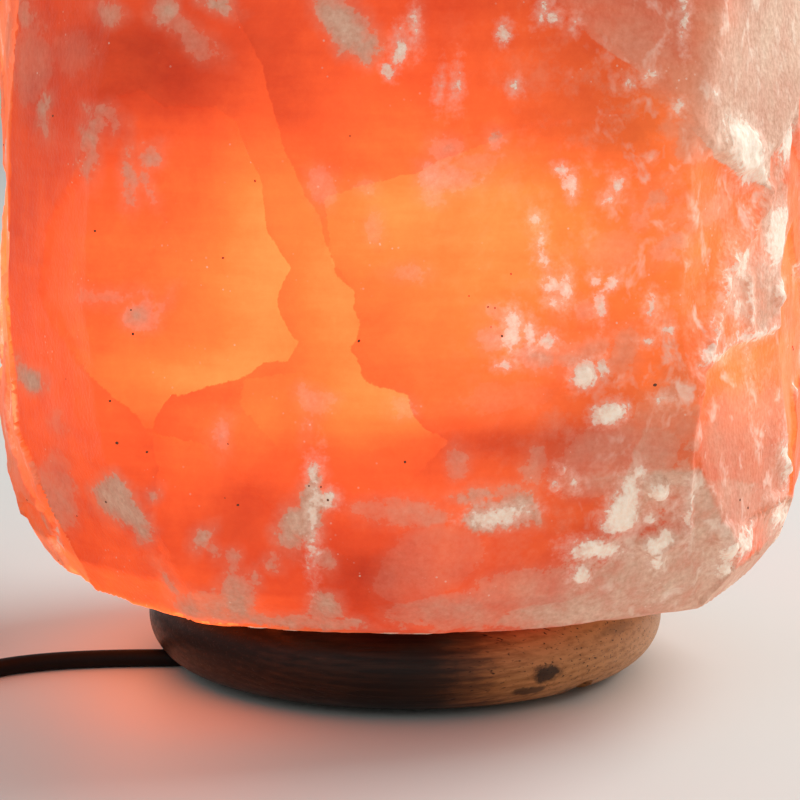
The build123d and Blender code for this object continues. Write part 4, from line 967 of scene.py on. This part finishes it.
# The hot filament.
tungsten = Nodes("tungsten")
heat_spots = tungsten.noise(700.0, 3.0)
tungsten.set(
    Base_Color=(0.9, 0.7, 0.4, 1.0),
    Emission_Color=tungsten.mix(heat_spots, (1.0, 0.42, 0.12), (1.0, 0.72, 0.34)),
    Emission_Strength=6.0,
    Roughness=tungsten.range(heat_spots, 0.3, 0.7, 0.3, 0.5),
)
tungsten.bump(heat_spots, 0.00005)

# Wood: the growth rings run along X, and show as long lines in front and as end grain at the sides.
wood = Nodes("wood")
bend = wood.noise(7.0, 3.0, 0.5, 0.0, wood.coordinates((0.35, 1.0, 1.0)))
separate = wood.tree.nodes.new("ShaderNodeSeparateXYZ")
wood.feed(separate, "Vector", wood.coordinates((1.0, 1.0, 1.0), (0.03, -0.02, 0.05)))
pith_y, pith_z = 0.03, -0.38
across_rings = wood.minus(separate.outputs["Y"], pith_y)
up_rings = wood.minus(separate.outputs["Z"], pith_z)
squares = wood.plus(wood.times(across_rings, across_rings), wood.times(up_rings, up_rings))
radius = wood.math("SQRT", squares)
radius = wood.plus(radius, wood.times(bend, 0.016))
ring_turns = 2600.0  # radians a metre, so a ring each 2.4 mm
rings = wood.range(wood.math("SINE", wood.times(radius, ring_turns)), -1.0, 1.0)
fibre = wood.noise(1.0, 5.0, 0.6, 0.1, wood.coordinates((20.0, 420.0, 900.0)))
pores = wood.noise(1.0, 2.0, 0.5, 0.0, wood.coordinates((60.0, 1500.0, 1500.0)))
cloudy = wood.noise(13.0, 4.0, 0.6, 0.4, wood.coordinates((0.6, 1.0, 1.4)))
tone = wood.plus(wood.times(rings, 0.09), wood.times(fibre, 0.62))
tone = wood.plus(tone, wood.times(wood.minus(cloudy, 0.5), 0.9))
# Painted light and shade: the wood is painted darker towards its left and lighter towards its right,
# where the key light falls.
lit_right_shaded_left = wood.plus(separate.outputs["X"], wood.times(wood.minus(cloudy, 0.5), 0.08))
tone = wood.plus(tone, wood.range(lit_right_shaded_left, 0.0, 0.05, 0.55, -0.32, smooth=True))
brown = wood.ramp(
    tone,
    (0.05, (0.56, 0.25, 0.09)),
    (0.25, (0.36, 0.145, 0.047)),
    (0.45, (0.15, 0.058, 0.021)),
    (0.7, (0.04, 0.015, 0.006)),
    (0.95, (0.01, 0.004, 0.002)),
)


def stain(place, size, strength):
    """A dark stain of oil or char round a place, drawn out along the grain."""
    offset = wood.tree.nodes.new("ShaderNodeMapping")
    wood.feed(offset, "Vector", wood.tree.nodes.new("ShaderNodeTexCoord").outputs["Object"])
    offset.vector_type = "TEXTURE"
    offset.inputs["Location"].default_value = place
    offset.inputs["Scale"].default_value = size
    length = wood.tree.nodes.new("ShaderNodeVectorMath")
    length.operation = "LENGTH"
    wood.feed(length, "0", offset.outputs[0])
    rough_edge = wood.plus(length.outputs["Value"], wood.times(wood.noise(260.0, 5.0, 0.7), 1.5))
    return wood.range(rough_edge, 1.35, 1.75, strength, 0.0)


# Place, half sizes, strength.
stains = (
    ((0.041, -0.068, 0.0125), (0.0055, 0.012, 0.0035), 0.9),
    ((0.036, -0.07, 0.0075), (0.006, 0.012, 0.0018), 0.75),
    ((0.0505, -0.062, 0.0035), (0.0065, 0.012, 0.0024), 0.95),
    ((0.004, -0.078, 0.013), (0.011, 0.012, 0.012), 0.5),
    ((-0.03, -0.074, 0.021), (0.018, 0.016, 0.0025), 0.35),
    ((0.062, -0.048, 0.021), (0.01, 0.01, 0.0022), 0.3),
    ((-0.06, 0.048, 0.012), (0.012, 0.012, 0.006), 0.5),
    ((0.03, 0.074, 0.015), (0.014, 0.012, 0.004), 0.45),
)
dark = stain(*stains[0])
for values in stains[1:]:
    dark = wood.larger(dark, stain(*values))
porous = wood.mix(wood.range(pores, 0.62, 0.72), brown, (0.022, 0.009, 0.005))
wood.set(
    Base_Color=wood.mix(dark, porous, (0.012, 0.007, 0.005)),
    Roughness=wood.plus(
        wood.range(fibre, 0.3, 0.7, 0.3, 0.46),
        wood.range(cloudy, 0.4, 0.7, 0.0, 0.1),
    ),
    Specular_IOR_Level=0.22,
    Coat_Weight=0.05,
    Coat_Roughness=0.25,
)
wood.bump(wood.plus(fibre, wood.times(wood.range(pores, 0.6, 0.72), -0.9)), 0.00006)

slots = {part["node"]: part["material_slot"] for part in frame["record"]["subparts"]}
for name, node in frame["nodes"].items():
    node.data.materials.clear()
    node.data.materials.append(materials[slots[name]])


# ---- strain reliefs and cores
plain_length = 0.004  # of a sleeve, without ribs
first_rib = 0.0015
groove_depth = 0.00055
end_round = 0.0004
around = 40


def ribbed_relief(name, place, way, root, length, thick, thin, ribs, material):
    """A tapered sleeve with ribs round it, along Y from its place."""
    profile = [(-root, 0.0), (-root, thick), (0.0, thick)]
    step = (length - plain_length) / ribs
    for number in range(ribs):
        start = first_rib + number * step
        for along, groove in ((0.0, 0.0), (0.12, 1.0), (0.36, 1.0), (0.48, 0.0), (1.0, 0.0)):
            at = start + along * step
            profile.append((at, thick + (thin - thick) * at / length - groove * groove_depth))
    profile += [(length - end_round, thin), (length, thin - end_round), (length, 0.0)]
    shape = bmesh.new()
    rings = []
    for along, size in profile:
        ring = []
        for step_round in range(around if size > 0.0 else 1):
            angle = 2 * math.pi * step_round / around
            across, up = size * math.cos(angle), size * math.sin(angle)
            ring.append(shape.verts.new((place[0] + across, place[1] + way * along, place[2] + up)))
        rings.append(ring)
    for first, second in zip(rings, rings[1:]):
        for number in range(around):
            after = (number + 1) % around
            corners = [first[number % len(first)], first[after % len(first)]]
            corners += [second[after % len(second)], second[number % len(second)]]
            shape.faces.new(list(dict.fromkeys(corners)))
    bmesh.ops.recalc_face_normals(shape, faces=shape.faces)
    sleeve = add_object(name, smoothed(mesh_of(shape, name, material)))
    soften = sleeve.modifiers.new("edges", "EDGE_SPLIT")
    soften.split_angle = math.radians(50)
    return sleeve


relief_look = moulded("relief_rubber", (0.019, 0.018, 0.018), 0.62, 1000.0, 0.00006)
# Name, place, way, root, length, radius at the root and at the end, ribs.
relief_parts = (
    ("relief_front", (-0.25, -0.051, split_height), -1, 0.004, 0.02, 0.0046, 0.0036, 6),
    ("relief_back", (-0.25, 0.027, split_height), 1, 0.004, 0.02, 0.0046, 0.0036, 6),
    ("relief_plug", (-0.1595, 0.036, 0.007), 1, 0.0, 0.022, 0.0052, 0.0036, 6),
)
reliefs = [ribbed_relief(*values, relief_look.material) for values in relief_parts]
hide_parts("dimmer_strain_reliefs")
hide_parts("dimmer_strain_reliefs")
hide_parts("plug_strain_relief")

core_low, core_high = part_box("lead_cores")
core_radius = 0.0009
core_spread = 0.00125
core_out = core_high[0] - core_radius
core_straight_low, core_straight_high = 0.003, 0.0025
core_colours = ((-1, "core_left", (0.13, 0.055, 0.025)), (1, "core_right", (0.02, 0.07, 0.2)))
for side, name, colour in core_colours:
    run = (
        (side * core_spread, 0.0, core_low[2]),
        (side * core_spread, 0.0, core_low[2] + core_straight_low),
        (side * core_out, 0.0, core_high[2] - core_straight_high),
        (side * core_out, 0.0, core_high[2]),
    )
    core_look = moulded(name, colour, 0.45, spread=0.15)
    core = cord_curve(name, run, core_look.material, 2 * core_radius)
    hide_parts("lead_cores")

# ---- stage and lights
floor_mesh = bpy.data.meshes.new("floor")
reach = 6.0
floor_mesh.from_pydata(
    [(-reach, -reach, 0.0), (reach, -reach, 0.0), (reach, reach, 0.0), (-reach, reach, 0.0)],
    [],
    [(0, 1, 2, 3)],
)
new_object("floor", floor_mesh)
floor_look = Nodes("floor")
floor_look.set(Base_Color=(0.78, 0.8, 0.775, 1.0), Roughness=0.45)
floor_mesh.materials.append(floor_look.material)


def area_light(name, place, target, side, watts):
    """A square white light that faces its target."""
    data = bpy.data.lights.new(name, "AREA")
    data.shape = "RECTANGLE"
    data.size = side
    data.size_y = side
    data.energy = watts
    lamp = new_object(name, data)
    lamp.location = place
    lamp.rotation_euler = (Vector(target) - Vector(place)).to_track_quat("-Z", "Y").to_euler()


key_watts, fill_watts = 35.0, 3.5
area_light("key_light", (1.4, 0.7, 1.25), (0.0, 0.0, 0.1), 1.3, key_watts)
area_light("fill_light", (-1.2, -1.6, 1.3), (0.0, 0.0, 0.15), 1.6, fill_watts)
world = bpy.data.worlds.new("studio")
world.use_nodes = True
sky = world.node_tree.nodes["Background"].inputs
sky["Color"].default_value = (1.0, 0.99, 0.97, 1.0)
sky["Strength"].default_value = 0.43
bpy.context.scene.world = world
bpy.context.scene.view_settings.view_transform = "Standard"
